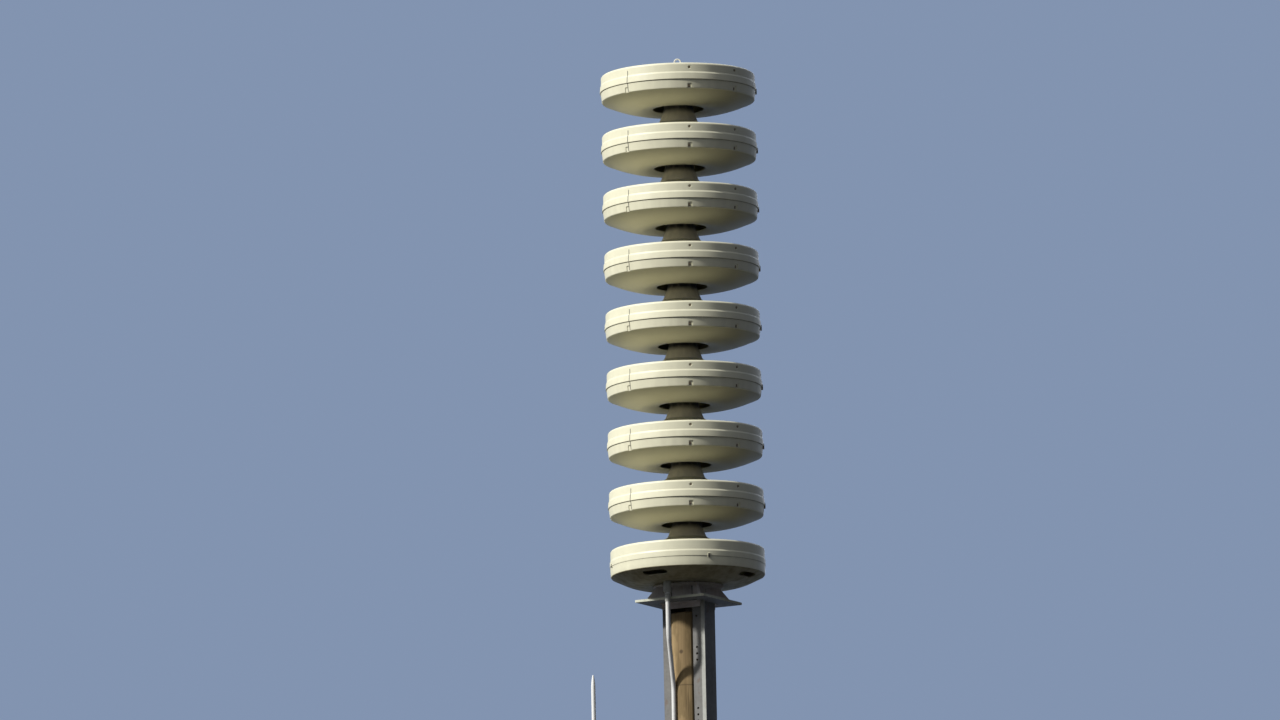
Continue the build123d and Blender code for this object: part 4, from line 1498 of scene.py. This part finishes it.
@dataclass(frozen=True)
class Bracket(Assembly):
    """Column, gussets, top plate, channels and their fasteners."""

    plate_corner: float = 0.003
    plate_edge: float = 0.0012
    underside_slope: float = -0.5
    gusset_first: float = 45.0
    gusset_thick: float = 0.008
    gusset_reach: float = 0.205
    column: float = 0.085
    weld_size: float = 0.0042
    weld_inset: float = 0.004
    column_welds: int = 28
    flange_tip: float = 0.060
    cross_weld: float = 0.0026
    stitch_gap: float = 0.30
    stitch: float = 0.040
    stitch_weld: float = 0.0028
    corner_leg: float = 0.020
    through_radius: float = 0.0095
    through_across: float = 0.029
    through_end: float = 0.022
    through_depths: tuple[float, ...] = (0.630, 0.865, 1.100)
    washer_side: float = 0.055
    washer: float = 0.005

    def build(self) -> None:
        """Build the steelwork, the column first."""
        for node in ("base_column", "base_gussets", "cross_angles"):
            smooth_copy(node, self.finishes.bounce_lit_steel, Slot.STEEL)
        for node in ("left_channel", "right_channel"):
            smooth_copy(node, self.finishes.steel, Slot.STEEL)
        smooth_copy("corner_angles", self.finishes.edge_steel, Slot.ZINC)
        self.plate()
        smooth_copy("lifting_eye", self.finishes.eye, Slot.STEEL)
        self.welds()
        self.through_bolts()

    def plate(self) -> None:
        """Build the top plate with rounded corners and softened edges, and painted shade in darker
        steel on its underside.
        """
        made = Shape().box_of("top_plate")
        upright = [e for e in made.mesh.edges if abs(e.verts[0].co.z - e.verts[1].co.z) > 0.001]
        made.soften(upright, self.plate_corner, 4).soften(made.crisp(), self.plate_edge)
        piece = made.save(
            "top_plate_body", self.finishes.plate_steel, Slot.STEEL, ["top_plate"]
        )
        paint_underside_shade(piece, self.finishes.steel, self.underside_slope)

    def welds(self) -> None:
        """Lay the welds of the column, the gussets and the angles."""
        made = Shape()
        made.weld(self.gusset_runs() + self.column_runs(), self.weld_size)
        made.weld(self.stitch_runs(), self.stitch_weld)
        made.weld(self.cross_runs(), self.cross_weld)
        made.save("bracket_welds", self.finishes.steel, Slot.STEEL, sharp=80.0)

    def gusset_runs(self) -> list[Run]:
        """Find the beads on both sides of each gusset.

        Returns:
            First and last point of each bead.
        """
        bottom, top = low("base_gussets").z, high("base_gussets").z
        half, runs = self.gusset_thick / 2, []
        for step in range(4):
            turn = Matrix.Rotation(math.radians(self.gusset_first + 90.0 * step), 4, "Z")
            for side in (-half, half):
                foot = turn @ Vector((self.column, side, bottom))
                head = Vector((self.column, side, top - self.weld_inset))
                end = Vector((self.gusset_reach - self.weld_inset, side, bottom))
                runs += [(foot, turn @ head), (foot, turn @ end)]
        return runs

    def column_runs(self) -> list[Run]:
        """Find the bead round the column's foot, in short lengths.

        Returns:
            First and last point of each length.
        """
        steps, level = self.column_welds, low("base_gussets").z
        ring = [
            Vector((self.column * math.cos(a), self.column * math.sin(a), level))
            for a in (2 * math.pi * i / steps for i in range(steps + 1))
        ]
        return list(zip(ring, ring[1:]))

    def stitch_runs(self) -> list[Run]:
        """Find the stitches that hold the corner angles to the channels.

        Returns:
            First and last point of each stitch.
        """
        foot, head = corners("right_channel")
        level, stitches = foot.z + self.stitch, []
        while level + self.stitch < head.z:
            for side in (-1, 1):
                start = Vector((side * head.x, side * (foot.y + self.corner_leg), level))
                stitches.append((start, start + Vector((0.0, 0.0, self.stitch))))
            level += self.stitch_gap
        return stitches

    def cross_runs(self) -> list[Run]:
        """Find the beads that hold the cross angles to the plate and to the flanges.

        Returns:
            First and last point of each bead.
        """
        foot, top = corners("cross_angles")
        face, runs = high("right_channel").y + 0.001, []
        for y in (-1, 1):
            for x in (-1, 1):
                inner, outer = x * self.flange_tip, x * (top.x - 0.002)
                for reach, level in ((y * face, foot.z), (y * top.y, top.z)):
                    runs.append(((inner, reach, level), (outer, reach, level)))
        return runs

    def through_bolts(self) -> None:
        """Build the through bolts with a square washer at each end."""
        made = Shape()
        web, top = high("right_channel").x, low("top_plate").z
        for depth in self.through_depths:
            level = top - depth
            made.rod(self.through_radius, (-web, 0, level), (web, 0, level), 20)
            for side in (-1, 1):
                middle = (side * (web + self.washer / 2), 0, level)
                made.block((self.washer, self.washer_side, self.washer_side), middle, 0.0007)
                seat = aligned((side * (web + self.washer), 0, level), (side, 0))
                made.bolt(self.through_across, seat, self.through_end if side < 0 else 0.0)
        made.save("through_bolt_set", self.finishes.fixing, Slot.ZINC, ["through_bolts"])


def rail_levels() -> list[float]:
    """Find the heights of the rails behind the cabinets.

    Returns:
        The height of each rail's middle.
    """
    levels = []
    for name in ("control", "battery"):
        bottom, top = corners(f"{name}_cabinet")
        levels += [bottom.z + RAIL_INSET, top.z - RAIL_INSET]
    return levels


@dataclass(frozen=True)
class Pole(Assembly):
    """The round wood pole, with its flats for the channels, the arm and the rails."""

    top_radius: float = 0.095
    taper: float = 0.0053
    crown: float = 0.008
    ring_gap: float = 0.09
    sides: int = 96
    relief_x: float = 0.057
    relief_y: float = 0.0645
    swell: float = 0.0028
    swell_scale: Size = (11.0, 11.0, 0.7)
    margin: float = 0.006
    channel_wall: float = 0.006

    def radius(self, height: float) -> float:
        """Return the pole's radius at a height."""
        return self.top_radius + (high("wood_pole").z - height) * self.taper

    def flats(self) -> list[tuple[Vector, float, float, float]]:
        """List the pole's flats.

        Returns:
            Each flat's direction, distance from the axis, lowest and highest level.
        """
        top = high("wood_pole").z + 0.01
        seat = high("right_channel").x - self.channel_wall
        foot = low("right_channel").z - self.margin
        found = [(Vector((side, 0.0, 0.0)), seat, foot, top) for side in (-1.0, 1.0)]
        under, over = corners("antenna_arm")
        pad = (under.z - self.margin, over.z + self.margin)
        found.append((Vector((-1.0, 0.0, 0.0)), -over.x, *pad))
        back = -high("cabinet_rails").y
        reach = RAIL_SIDE / 2 + self.margin
        for level in rail_levels():
            found.append((Vector((0.0, -1.0, 0.0)), back, level - reach, level + reach))
        return found

    def build(self) -> None:
        """Turn the pole, let it swell a little and cut its flats."""
        top, flats = high("wood_pole").z, self.flats()
        channel_foot = low("right_channel").z - self.margin
        count = round(top / self.ring_gap)
        levels = {round(top * i / count, 5) for i in range(count)}
        for _, _, foot, head in flats:
            levels |= {round(edge + step, 5) for edge in (foot, head) for step in (-0.0004, 0.0004)}
        outline = Outline(0.0, 0.0)
        for level in sorted(level for level in levels if level < top - self.crown - 0.01):
            outline.line(self.radius(level), level)
        outline.line(self.radius(top - self.crown), top - self.crown)
        outline.line(self.top_radius - self.crown, top).line(0.0, top)
        made = Shape().turn(outline, self.sides)
        for vert in made.mesh.verts:
            spot = vert.co * Vector(self.swell_scale)
            away = Vector((vert.co.x, vert.co.y, 0.0))
            vert.co += away * (self.swell / 0.1 * noise.noise(spot) * 0.5)
            for direction, seat, foot, head in flats:
                over = vert.co.dot(direction) - seat
                if foot < vert.co.z < head and over > 0.0:
                    vert.co -= direction * over
            beyond = abs(vert.co.y) - self.relief_y
            if vert.co.z > channel_foot and abs(vert.co.x) > self.relief_x and beyond > 0.0:
                vert.co.y -= math.copysign(beyond, vert.co.y)
        made.save("pole_body", self.finishes.wood, Slot.WOOD, ["wood_pole"])


@dataclass(frozen=True)
class Feed(Assembly):
    """The conduit with its fittings, couplings and straps, along the pole."""

    pole: Pole
    pipe: float = 0.011
    angle: float = 251.0
    clear: float = 0.0003
    strap_first: float = 12.35
    strap_gap: float = 1.42
    strap_count: int = 6
    strap_tall: float = 0.022
    strap_thick: float = 0.0018
    ear: float = 0.018
    strap_bolt: float = 0.008
    coupling_levels: tuple[float, ...] = (10.22, 7.17)
    coupling: float = 0.0142
    coupling_length: float = 0.046

    def build(self) -> None:
        """Dress the conduit and strap it to the pole."""
        smooth_copy("conduit", self.finishes.zinc, Slot.ZINC)
        smooth_copy("conduit_fittings", self.finishes.edge_steel, Slot.ZINC)
        self.straps()
        self.couplings()

    def strap(self) -> Shape:
        """Make one two-eared strap.

        Returns:
            The strap, its origin on the pipe's axis and its X outward.
        """
        bore, rim = self.pipe + 0.0001, self.pipe + self.strap_thick
        half, back = self.strap_tall / 2, self.strap_thick / 2
        band = Outline(bore, -half).line(rim, -half).line(rim, half).line(bore, half)
        made = Shape().turn(band, 16, angle=180.0, start=-90.0)
        for side in (-1, 1):
            leg = (self.pipe + 0.001, self.strap_thick, self.strap_tall)
            made.block(leg, (-self.pipe / 2, side * (bore + back), 0))
            ear, ear_y = (self.strap_thick, self.ear, self.strap_tall), side * (bore + self.ear / 2)
            made.block(ear, (-self.pipe, ear_y, 0), 0.0004)
            seat = Matrix.Translation((back - self.pipe, ear_y + side * 0.002, 0))
            made.bolt(self.strap_bolt, seat)
        return made

    def seats(self, levels: Iterable[float]) -> list[Matrix]:
        """Return seats on the pipe's axis at some levels."""
        return [
            facing(self.angle, self.pole.radius(level) + self.pipe + self.clear, level)
            for level in levels
        ]

    def straps(self) -> None:
        """Strap the conduit to the pole."""
        places = self.seats(
            self.strap_first - self.strap_gap * i for i in range(self.strap_count)
        )
        Shape().stamp(self.strap(), places).save("conduit_straps", self.finishes.fixing, Slot.ZINC)

    def couplings(self) -> None:
        """Join the lengths of conduit."""
        half = self.coupling_length / 2
        ring = Outline(self.pipe, -half).line(self.coupling - 0.001, -half)
        ring.line(self.coupling, 0.001 - half).line(self.coupling, half - 0.001)
        ring.line(self.coupling - 0.001, half).line(self.pipe, half)
        part = Shape().turn(ring, 32)
        places = self.seats(self.coupling_levels)
        Shape().stamp(part, places).save("conduit_couplings", self.finishes.edge_steel, Slot.ZINC)


@dataclass(frozen=True)
class Antenna(Assembly):
    """The whip, its ferrule and the arm that holds it."""

    ferrule: float = 0.016
    ferrule_length: float = 0.260
    cone: float = 0.008
    whip: float = 0.0105
    tip_length: float = 0.060
    tip: float = 0.002
    clamp: float = 0.056
    clamp_bolt_x: float = 0.0195
    split_x: float = 0.022
    split_long: float = 0.0112
    split_wide: float = 0.0016
    pad_thick: float = 0.008
    pad_bolt_y: float = 0.027
    pad_bolt_z: float = 0.085
    pad_across: float = 0.016
    clamp_across: float = 0.008
    pad_thread: float = 0.003
    clamp_thread: float = 0.004

    def build(self) -> None:
        """Dress the antenna."""
        foot, top = corners("whip_antenna")
        centre = ((foot.x + top.x) / 2, (foot.y + top.y) / 2, 0.0)
        seam = foot.z + self.ferrule_length
        metal = Outline(0.0, foot.z).line(self.ferrule - 0.002, foot.z)
        metal.round((self.ferrule, foot.z), (self.ferrule, foot.z + 0.002), 3)
        metal.line(self.ferrule, seam - 0.001)
        metal.round((self.ferrule, seam), (self.ferrule - 0.001, seam), 3)
        metal.line(self.whip, seam + self.cone).line(0.0, seam + self.cone)
        rod = Outline(0.0, seam).line(self.whip, seam).line(self.whip, top.z - self.tip_length)
        rod.round((self.whip, top.z - 0.6 * self.tip_length), (self.tip + 0.002, top.z - 0.004), 6)
        rod.round((self.tip, top.z), (0.0, top.z), 4)
        Shape().turn(rod, 40, centre).save(
            "whip_radome", self.finishes.radome, Slot.RADOME, ["whip_antenna"]
        )
        Shape().turn(metal, 40, centre).save("whip_ferrule", self.finishes.zinc, Slot.ZINC)
        smooth_copy("antenna_arm", self.finishes.steel, Slot.STEEL)
        self.fasteners(centre)

    def fasteners(self, centre: Point) -> None:
        """Bolt the pad to the pole and the clamp round the ferrule.

        Args:
            centre: a point on the whip's axis.
        """
        made = Shape()
        arm_low, arm_high = corners("antenna_arm")
        level = (arm_low.z + arm_high.z) / 2
        face = arm_high.x - self.pad_thick
        for y in (-1, 1):
            for z in (-1, 1):
                spot = (face, y * self.pad_bolt_y, level + z * self.pad_bolt_z)
                made.bolt(self.pad_across, aligned(spot, (-1, 0)), self.pad_thread)
                side = (centre[0] + z * self.clamp_bolt_x, y * self.clamp / 2, level)
                end = self.clamp_thread if y < 0 else 0.0
                made.bolt(self.clamp_across, aligned(side, (0, y)), end)
        made.save("antenna_bolts", self.finishes.fixing, Slot.ZINC)
        # Painted shadow: dark blocks fill the splits of the clamp.
        split = Shape()
        for side in (-1, 1):
            middle = (centre[0] + side * self.split_x, 0.0, level)
            split.block((self.split_long, self.split_wide, self.clamp + 0.0006), middle)
        split.save("clamp_split_shadow", self.finishes.shadow, Slot.STEEL)


@dataclass(frozen=True)
class Cabinet(Assembly):
    """One cabinet: body, roof, door, hinges, latch and louvres."""

    name: str
    louvres: int
    hinges: int
    roof_drop: float = 0.018
    edge: float = 0.004
    door_edge: float = 0.002
    hinge_radius: float = 0.0065
    hinge_length: float = 0.070
    louvre_long: float = 0.170
    louvre_tall: float = 0.015
    louvre_proud: float = 0.007
    louvre_gap: float = 0.026
    louvre_start: float = 0.28
    mouth_tall: float = 0.005
    shield: float = 0.018
    shield_thick: float = 0.0025
    shield_inset: float = 0.012
    drip: float = 0.010
    seal_inset: float = 0.02
    seal_thick: float = 0.006
    hinge_pin: float = 0.003
    hinge_leaf: tuple[float, float] = (0.003, 0.030)
    latch_inset: float = 0.034
    latch_width: float = 0.044
    latch_tall: float = 0.170
    latch_depth: float = 0.015
    latch_plate: Size = (0.036, 0.002, 0.160)
    latch_handle: Size = (0.018, 0.007, 0.104)
    latch_loop: Size = (0.014, 0.012, 0.004)
    latch_pivot: float = 0.010
    latch_pivot_rise: float = 0.050
    latch_reach: float = 0.070
    latch_screw: float = 0.006

    def build(self) -> None:
        """Build the cabinet."""
        self.body()
        self.door()
        self.vents()
        self.hardware()

    def body(self) -> None:
        """Build the body with its sloping roof and the rain shield over the door."""
        node = f"{self.name}_cabinet"
        bottom, top = corners(node)
        made = Shape().box_of(node)
        for vert in made.mesh.verts:
            if vert.co.z > top.z - 0.001 and vert.co.y < bottom.y + 0.001:
                vert.co.z -= self.roof_drop
        made.soften(list(made.mesh.edges), self.edge, 3)
        width = top.x - bottom.x - self.shield_inset
        eaves = (0.0, bottom.y - self.shield / 2 + 0.001, top.z - self.roof_drop - 0.004)
        made.block((width, self.shield, self.shield_thick), eaves, SHEET_EDGE)
        edge = (0.0, bottom.y - self.shield + 0.002, eaves[2] - 0.004)
        made.block((width, self.shield_thick, self.drip), edge, SHEET_EDGE)
        made.save(f"{node}_body", self.finishes.cabinet, Slot.CABINET, [node])

    def door(self) -> None:
        """Build the door with the sunk box of its latch, and its rubber seal."""
        node = f"{self.name}_door"
        bottom, top = corners(node)
        made = Shape().box_of(node)
        side, level = top.x - self.latch_inset, (top.z + bottom.z) / 2
        cuts = [(Vector((side + way * self.latch_width / 2, 0, 0)), (1, 0, 0)) for way in (-1, 1)]
        cuts += [(Vector((0, 0, level + way * self.latch_tall / 2)), (0, 0, 1)) for way in (-1, 1)]
        for place, normal in cuts:
            every = [*made.mesh.verts, *made.mesh.edges, *made.mesh.faces]
            bmesh.ops.bisect_plane(made.mesh, geom=every, plane_co=place, plane_no=normal)
        latch_box = [
            face
            for face in made.mesh.faces
            if abs(face.calc_center_median().x - side) < self.latch_width / 2
            and abs(face.calc_center_median().z - level) < self.latch_tall / 2
            and face.calc_center_median().y < bottom.y + 0.001
        ]
        bmesh.ops.inset_region(
            made.mesh, faces=latch_box, thickness=0.002, depth=-self.latch_depth
        )
        made.soften(made.crisp(), self.door_edge, 3)
        made.save(f"{node}_body", self.finishes.cabinet, Slot.CABINET, [node])
        inset = self.seal_inset
        size = (top.x - bottom.x - inset, self.seal_thick, top.z - bottom.z - inset)
        rim = Shape().block(size, ((top.x + bottom.x) / 2, top.y, (top.z + bottom.z) / 2))
        rim.save(f"{self.name}_door_seal", self.finishes.shadow, Slot.CABINET)

    def vents(self) -> None:
        """Build the pressed louvres on both sides, their mouths down, each mouth a dark sheet of
        painted shade.
        """
        if not self.louvres:
            return
        bottom, top = corners(f"{self.name}_cabinet")
        size = (self.louvre_proud, self.louvre_long, self.louvre_tall)
        blade = Shape().block(size, (self.louvre_proud / 2, 0, 0))
        for vert in blade.mesh.verts:
            if vert.co.z > 0 and vert.co.x > 0.001:
                vert.co.x = 0.0006
        blade.soften(blade.crisp(0.3), 0.0012)
        # Painted shade: a dark sheet stands in each louvre's mouth.
        opening = (0.0012, self.louvre_long - 0.01, self.mouth_tall)
        mouth = Shape().block(opening, (0.0, 0, -self.louvre_tall / 2))
        middle = (top.y + bottom.y) / 2
        first = bottom.z + self.louvre_start * (top.z - bottom.z)
        places = [
            aligned((side, middle, first + self.louvre_gap * i), (side, 0))
            for side in (bottom.x, top.x)
            for i in range(self.louvres)
        ]
        for part, shape, finish in (
            ("louvres", blade, self.finishes.cabinet),
            ("louvre_mouth_shade", mouth, self.finishes.shadow),
        ):
            Shape().stamp(shape, places).save(f"{self.name}_{part}", finish, Slot.CABINET)

    def hardware(self) -> None:
        """Build the hinges on one side of the door and the latch on the other."""
        bottom, top = corners(f"{self.name}_door")
        made = Shape()
        x, y, half = bottom.x - 0.004, top.y - 0.006, self.hinge_length / 2
        for i in range(self.hinges):
            middle = bottom.z + (top.z - bottom.z) * (i + 0.5) / self.hinges
            for piece in range(3):
                start = middle - half + piece * self.hinge_length / 3 + 0.0004
                end = start + self.hinge_length / 3 - 0.0008
                made.rod(self.hinge_radius, (x, y, start), (x, y, end), 20, FINE_EDGE)
            foot, head = middle - half - 0.003, middle + half + 0.003
            made.rod(self.hinge_pin, (x, y, foot), (x, y, head), 12, 0.001)
            leaf = (*self.hinge_leaf, self.hinge_length)
            made.block(leaf, (bottom.x - 0.0105, top.y + 0.018, middle), FINE_EDGE)
        level = (top.z + bottom.z) / 2
        side, floor = top.x - self.latch_inset, bottom.y + self.latch_depth
        pivot = level + self.latch_pivot_rise
        made.block(self.latch_plate, (side, floor, level), FINE_EDGE)
        made.block(self.latch_handle, (side, floor - 0.009, level - 0.012), 0.003)
        made.rod(self.latch_pivot, (side, floor, pivot), (side, floor - 0.014, pivot), 24, 0.002)
        made.block(self.latch_loop, (side, floor - 0.006, level - self.latch_reach), 0.001)
        screw = (side, floor - 0.001, level + self.latch_reach)
        made.bolt(self.latch_screw, aligned(screw, (0, -1)))
        made.save(f"{self.name}_hardware", self.finishes.fixing, Slot.ZINC)


@dataclass(frozen=True)
class Mounting(Assembly):
    """The four rails behind the cabinets, bolted to the pole and to the cabinets."""

    lag_x: float = 0.045
    lag_across: float = 0.016
    foot_x: float = 0.328
    foot_size: Size = (0.040, 0.003, 0.032)
    foot_across: float = 0.013
    cap: float = 0.003

    def build(self) -> None:
        """Build the rails with their end caps, lag bolts and cabinet feet."""
        smooth_copy("cabinet_rails", self.finishes.edge_steel, Slot.STEEL)
        bolts, feet, caps = Shape(), Shape(), Shape()
        near, far = corners("cabinet_rails")
        cap = (self.cap, RAIL_SIDE - 0.001, RAIL_SIDE - 0.001)
        for level in rail_levels():
            for side in (-1, 1):
                lag = (side * self.lag_x, far.y - 0.0025, level)
                bolts.bolt(self.lag_across, aligned(lag, (0, -1)))
                foot = (side * (self.foot_x - 0.006), near.y - 0.0015, level)
                feet.block(self.foot_size, foot, SHEET_EDGE)
                spot = (side * self.foot_x, near.y - 0.003, level)
                bolts.bolt(self.foot_across, aligned(spot, (0, -1)), 0.003)
                end = (side * (far.x - 0.0015), (near.y + far.y) / 2, level)
                caps.block(cap, end, SHEET_EDGE)
        bolts.save("mounting_bolts", self.finishes.fixing, Slot.ZINC)
        feet.save("cabinet_feet", self.finishes.cabinet, Slot.CABINET)
        caps.save("rail_caps", self.finishes.shadow, Slot.STEEL)


# Studio


@dataclass(frozen=True)
class Lamp:
    """A lamp far off: degrees to the right of the camera's side of the tower, and degrees up."""

    name: str
    side: float
    rise: float
    strength: float
    softness: float
    tint: Colour


@dataclass(frozen=True)
class Studio:
    """Floor, light and the camera at the photograph's angle."""

    distance: float = 80.0
    camera_height: float = 1.0
    frame_width: float = 6.236
    aim_side: float = -0.212
    aim_height: float = 14.3576
    roll: float = 1.153
    floor_radius: float = 2.2
    backdrop: Colour = (0.225, 0.295, 0.435)
    sunny_sky: Colour = (0.27, 0.285, 0.305)
    far_sky: Colour = (0.066, 0.073, 0.106)
    ground_fill: Colour = (0.032, 0.029, 0.021)
    horizon: tuple[float, float] = (-0.02, 0.2)
    sunny_reach: tuple[float, float] = (-0.5, 0.7)
    lens_clip: tuple[float, float] = (0.5, 400.0)
    lamps: tuple[Lamp, ...] = (
        Lamp("key", -64.5, 39.0, 4.0, 4.0, (1.0, 0.975, 0.93)),
        Lamp("front", -47.0, 40.0, 0.42, 12.0, (1.0, 0.98, 0.93)),
        Lamp("back", 165.0, 24.0, 0.35, 40.0, (0.93, 0.96, 1.0)),
    )

    def axes(self) -> tuple[Vector, Vector]:
        """Return the level directions to the camera's right and away from it."""
        turn = math.radians(VIEW_TURN)
        right = Vector((math.cos(turn), math.sin(turn), 0.0))
        return right, Vector((-math.sin(turn), math.cos(turn), 0.0))

    def towards(self, lamp: Lamp) -> Vector:
        """Return the direction from the tower to a lamp.

        Args:
            lamp: the lamp.

        Returns:
            The direction, one metre long.
        """
        right, away = self.axes()
        turn, lift = math.radians(lamp.side), math.radians(lamp.rise)
        level = right * math.sin(turn) - away * math.cos(turn)
        return level * math.cos(lift) + Vector((0, 0, math.sin(lift)))

    def build(self) -> None:
        """Build the floor, the light and the camera."""
        self.floor()
        self.world()
        for lamp in self.lamps:
            self.hang(lamp)
        self.camera()

    def floor(self) -> None:
        """Lay a plain pale floor under the tower."""
        disc = bmesh.new()
        bmesh.ops.create_circle(disc, cap_ends=True, segments=96, radius=self.floor_radius)
        data = bpy.data.meshes.new("studio_floor")
        disc.to_mesh(data)
        disc.free()
        paper = Surface("floor_paper")
        paper.give("Roughness", 0.9)
        tone = paper.ramp(paper.noise(paper.where, 1.2, 2.0), 0.3, 0.7)
        paper.give("Base Color", paper.mix(tone, (0.70, 0.70, 0.68), (0.73, 0.73, 0.71)))
        data.materials.append(paper.material)
        floor = bpy.data.objects.new("studio_floor", data)
        bpy.context.scene.collection.objects.link(floor)

    def world(self) -> None:
        """Set a plain blue backdrop for the eye and a soft fill for the object."""
        world = bpy.data.worlds.new("studio_world")
        world.use_nodes = True
        bpy.context.scene.world = world
        graph = Graph(world.node_tree)
        nodes = world.node_tree.nodes
        fill = nodes["Background"]
        way = graph.split(graph.node("ShaderNodeTexCoord", {}).outputs["Generated"])
        sun = self.towards(self.lamps[0])
        sunny = graph.add(graph.times(way["X"], sun.x), graph.times(way["Y"], sun.y))
        sky = graph.mix(graph.ramp(sunny, *self.sunny_reach), self.far_sky, self.sunny_sky)
        tone = graph.mix(graph.ramp(way["Z"], *self.horizon), self.ground_fill, sky)
        graph.put(fill.inputs["Color"], tone)
        seen = graph.node("ShaderNodeBackground", {"Color": self.backdrop, "Strength": 1.0})
        path = graph.node("ShaderNodeLightPath", {}).outputs
        eye = path["Is Camera Ray"]
        for ray in ("Is Glossy Ray", "Is Transmission Ray"):
            eye = graph.math("MAXIMUM", eye, path[ray])
        both = nodes.new("ShaderNodeMixShader")
        graph.put(both.inputs[0], eye)
        graph.put(both.inputs[1], fill.outputs[0])
        graph.put(both.inputs[2], seen.outputs[0])
        graph.put(nodes["World Output"].inputs["Surface"], both.outputs[0])

    def hang(self, lamp: Lamp) -> None:
        """Hang a lamp.

        Args:
            lamp: the lamp.
        """
        towards = self.towards(lamp)
        data = bpy.data.lights.new(lamp.name, "SUN")
        data.energy = lamp.strength
        data.angle = math.radians(lamp.softness)
        data.color = lamp.tint
        made = bpy.data.objects.new(lamp.name, data)
        made.rotation_euler = towards.to_track_quat("Z", "Y").to_euler()
        made.location = Vector((0, 0, self.aim_height)) + towards * 10
        bpy.context.scene.collection.objects.link(made)

    def camera(self) -> None:
        """Set the camera where the photograph was taken from."""
        right, away = self.axes()
        place = -away * self.distance + Vector((0, 0, self.camera_height))
        target = right * self.aim_side + Vector((0, 0, self.aim_height))
        look = (target - place).normalized()
        across = look.cross(Vector((0, 0, 1))).normalized()
        up = across.cross(look)
        roll = math.radians(self.roll)
        tilted_up = up * math.cos(roll) + across * math.sin(roll)
        tilted_across = across * math.cos(roll) - up * math.sin(roll)
        data = bpy.data.cameras.new("photo_view")
        data.sensor_width = 36.0
        data.lens = data.sensor_width * (target - place).length / self.frame_width
        data.clip_start, data.clip_end = self.lens_clip
        camera = bpy.data.objects.new("photo_view", data)
        turn = Matrix((tilted_across, tilted_up, -look)).transposed()
        camera.matrix_world = Matrix.Translation(place) @ turn.to_4x4()
        bpy.context.scene.collection.objects.link(camera)
        bpy.context.scene.camera = camera


def main() -> None:
    """Build the tower's finish in order."""
    logging.basicConfig(level=logging.INFO, format="%(message)s")
    bpy.context.scene.view_settings.view_transform = "Standard"
    horn = ShellForm(
        band=0.128, top=0.376, seam_radius=0.382, seam=0.045, rib=0.0752, rib_radius=0.380
    )
    base = ShellForm(
        band=0.132, top=0.375, seam_radius=0.3788, seam=0.047, rib=0.073, rib_radius=0.3785
    )
    finishes = Finishes.make(horn, base)
    pole = Pole(finishes)
    assemblies = (
        HornStack(finishes, horn),
        BaseDisc(finishes, base),
        Bracket(finishes),
        pole,
        Feed(finishes, pole),
        Antenna(finishes),
        Cabinet(finishes, "control", louvres=0, hinges=3),
        Cabinet(finishes, "battery", louvres=7, hinges=2),
        Mounting(finishes),
    )
    for assembly in assemblies:
        assembly.build()
    Studio().build()


if __name__ == "__main__":
    main()
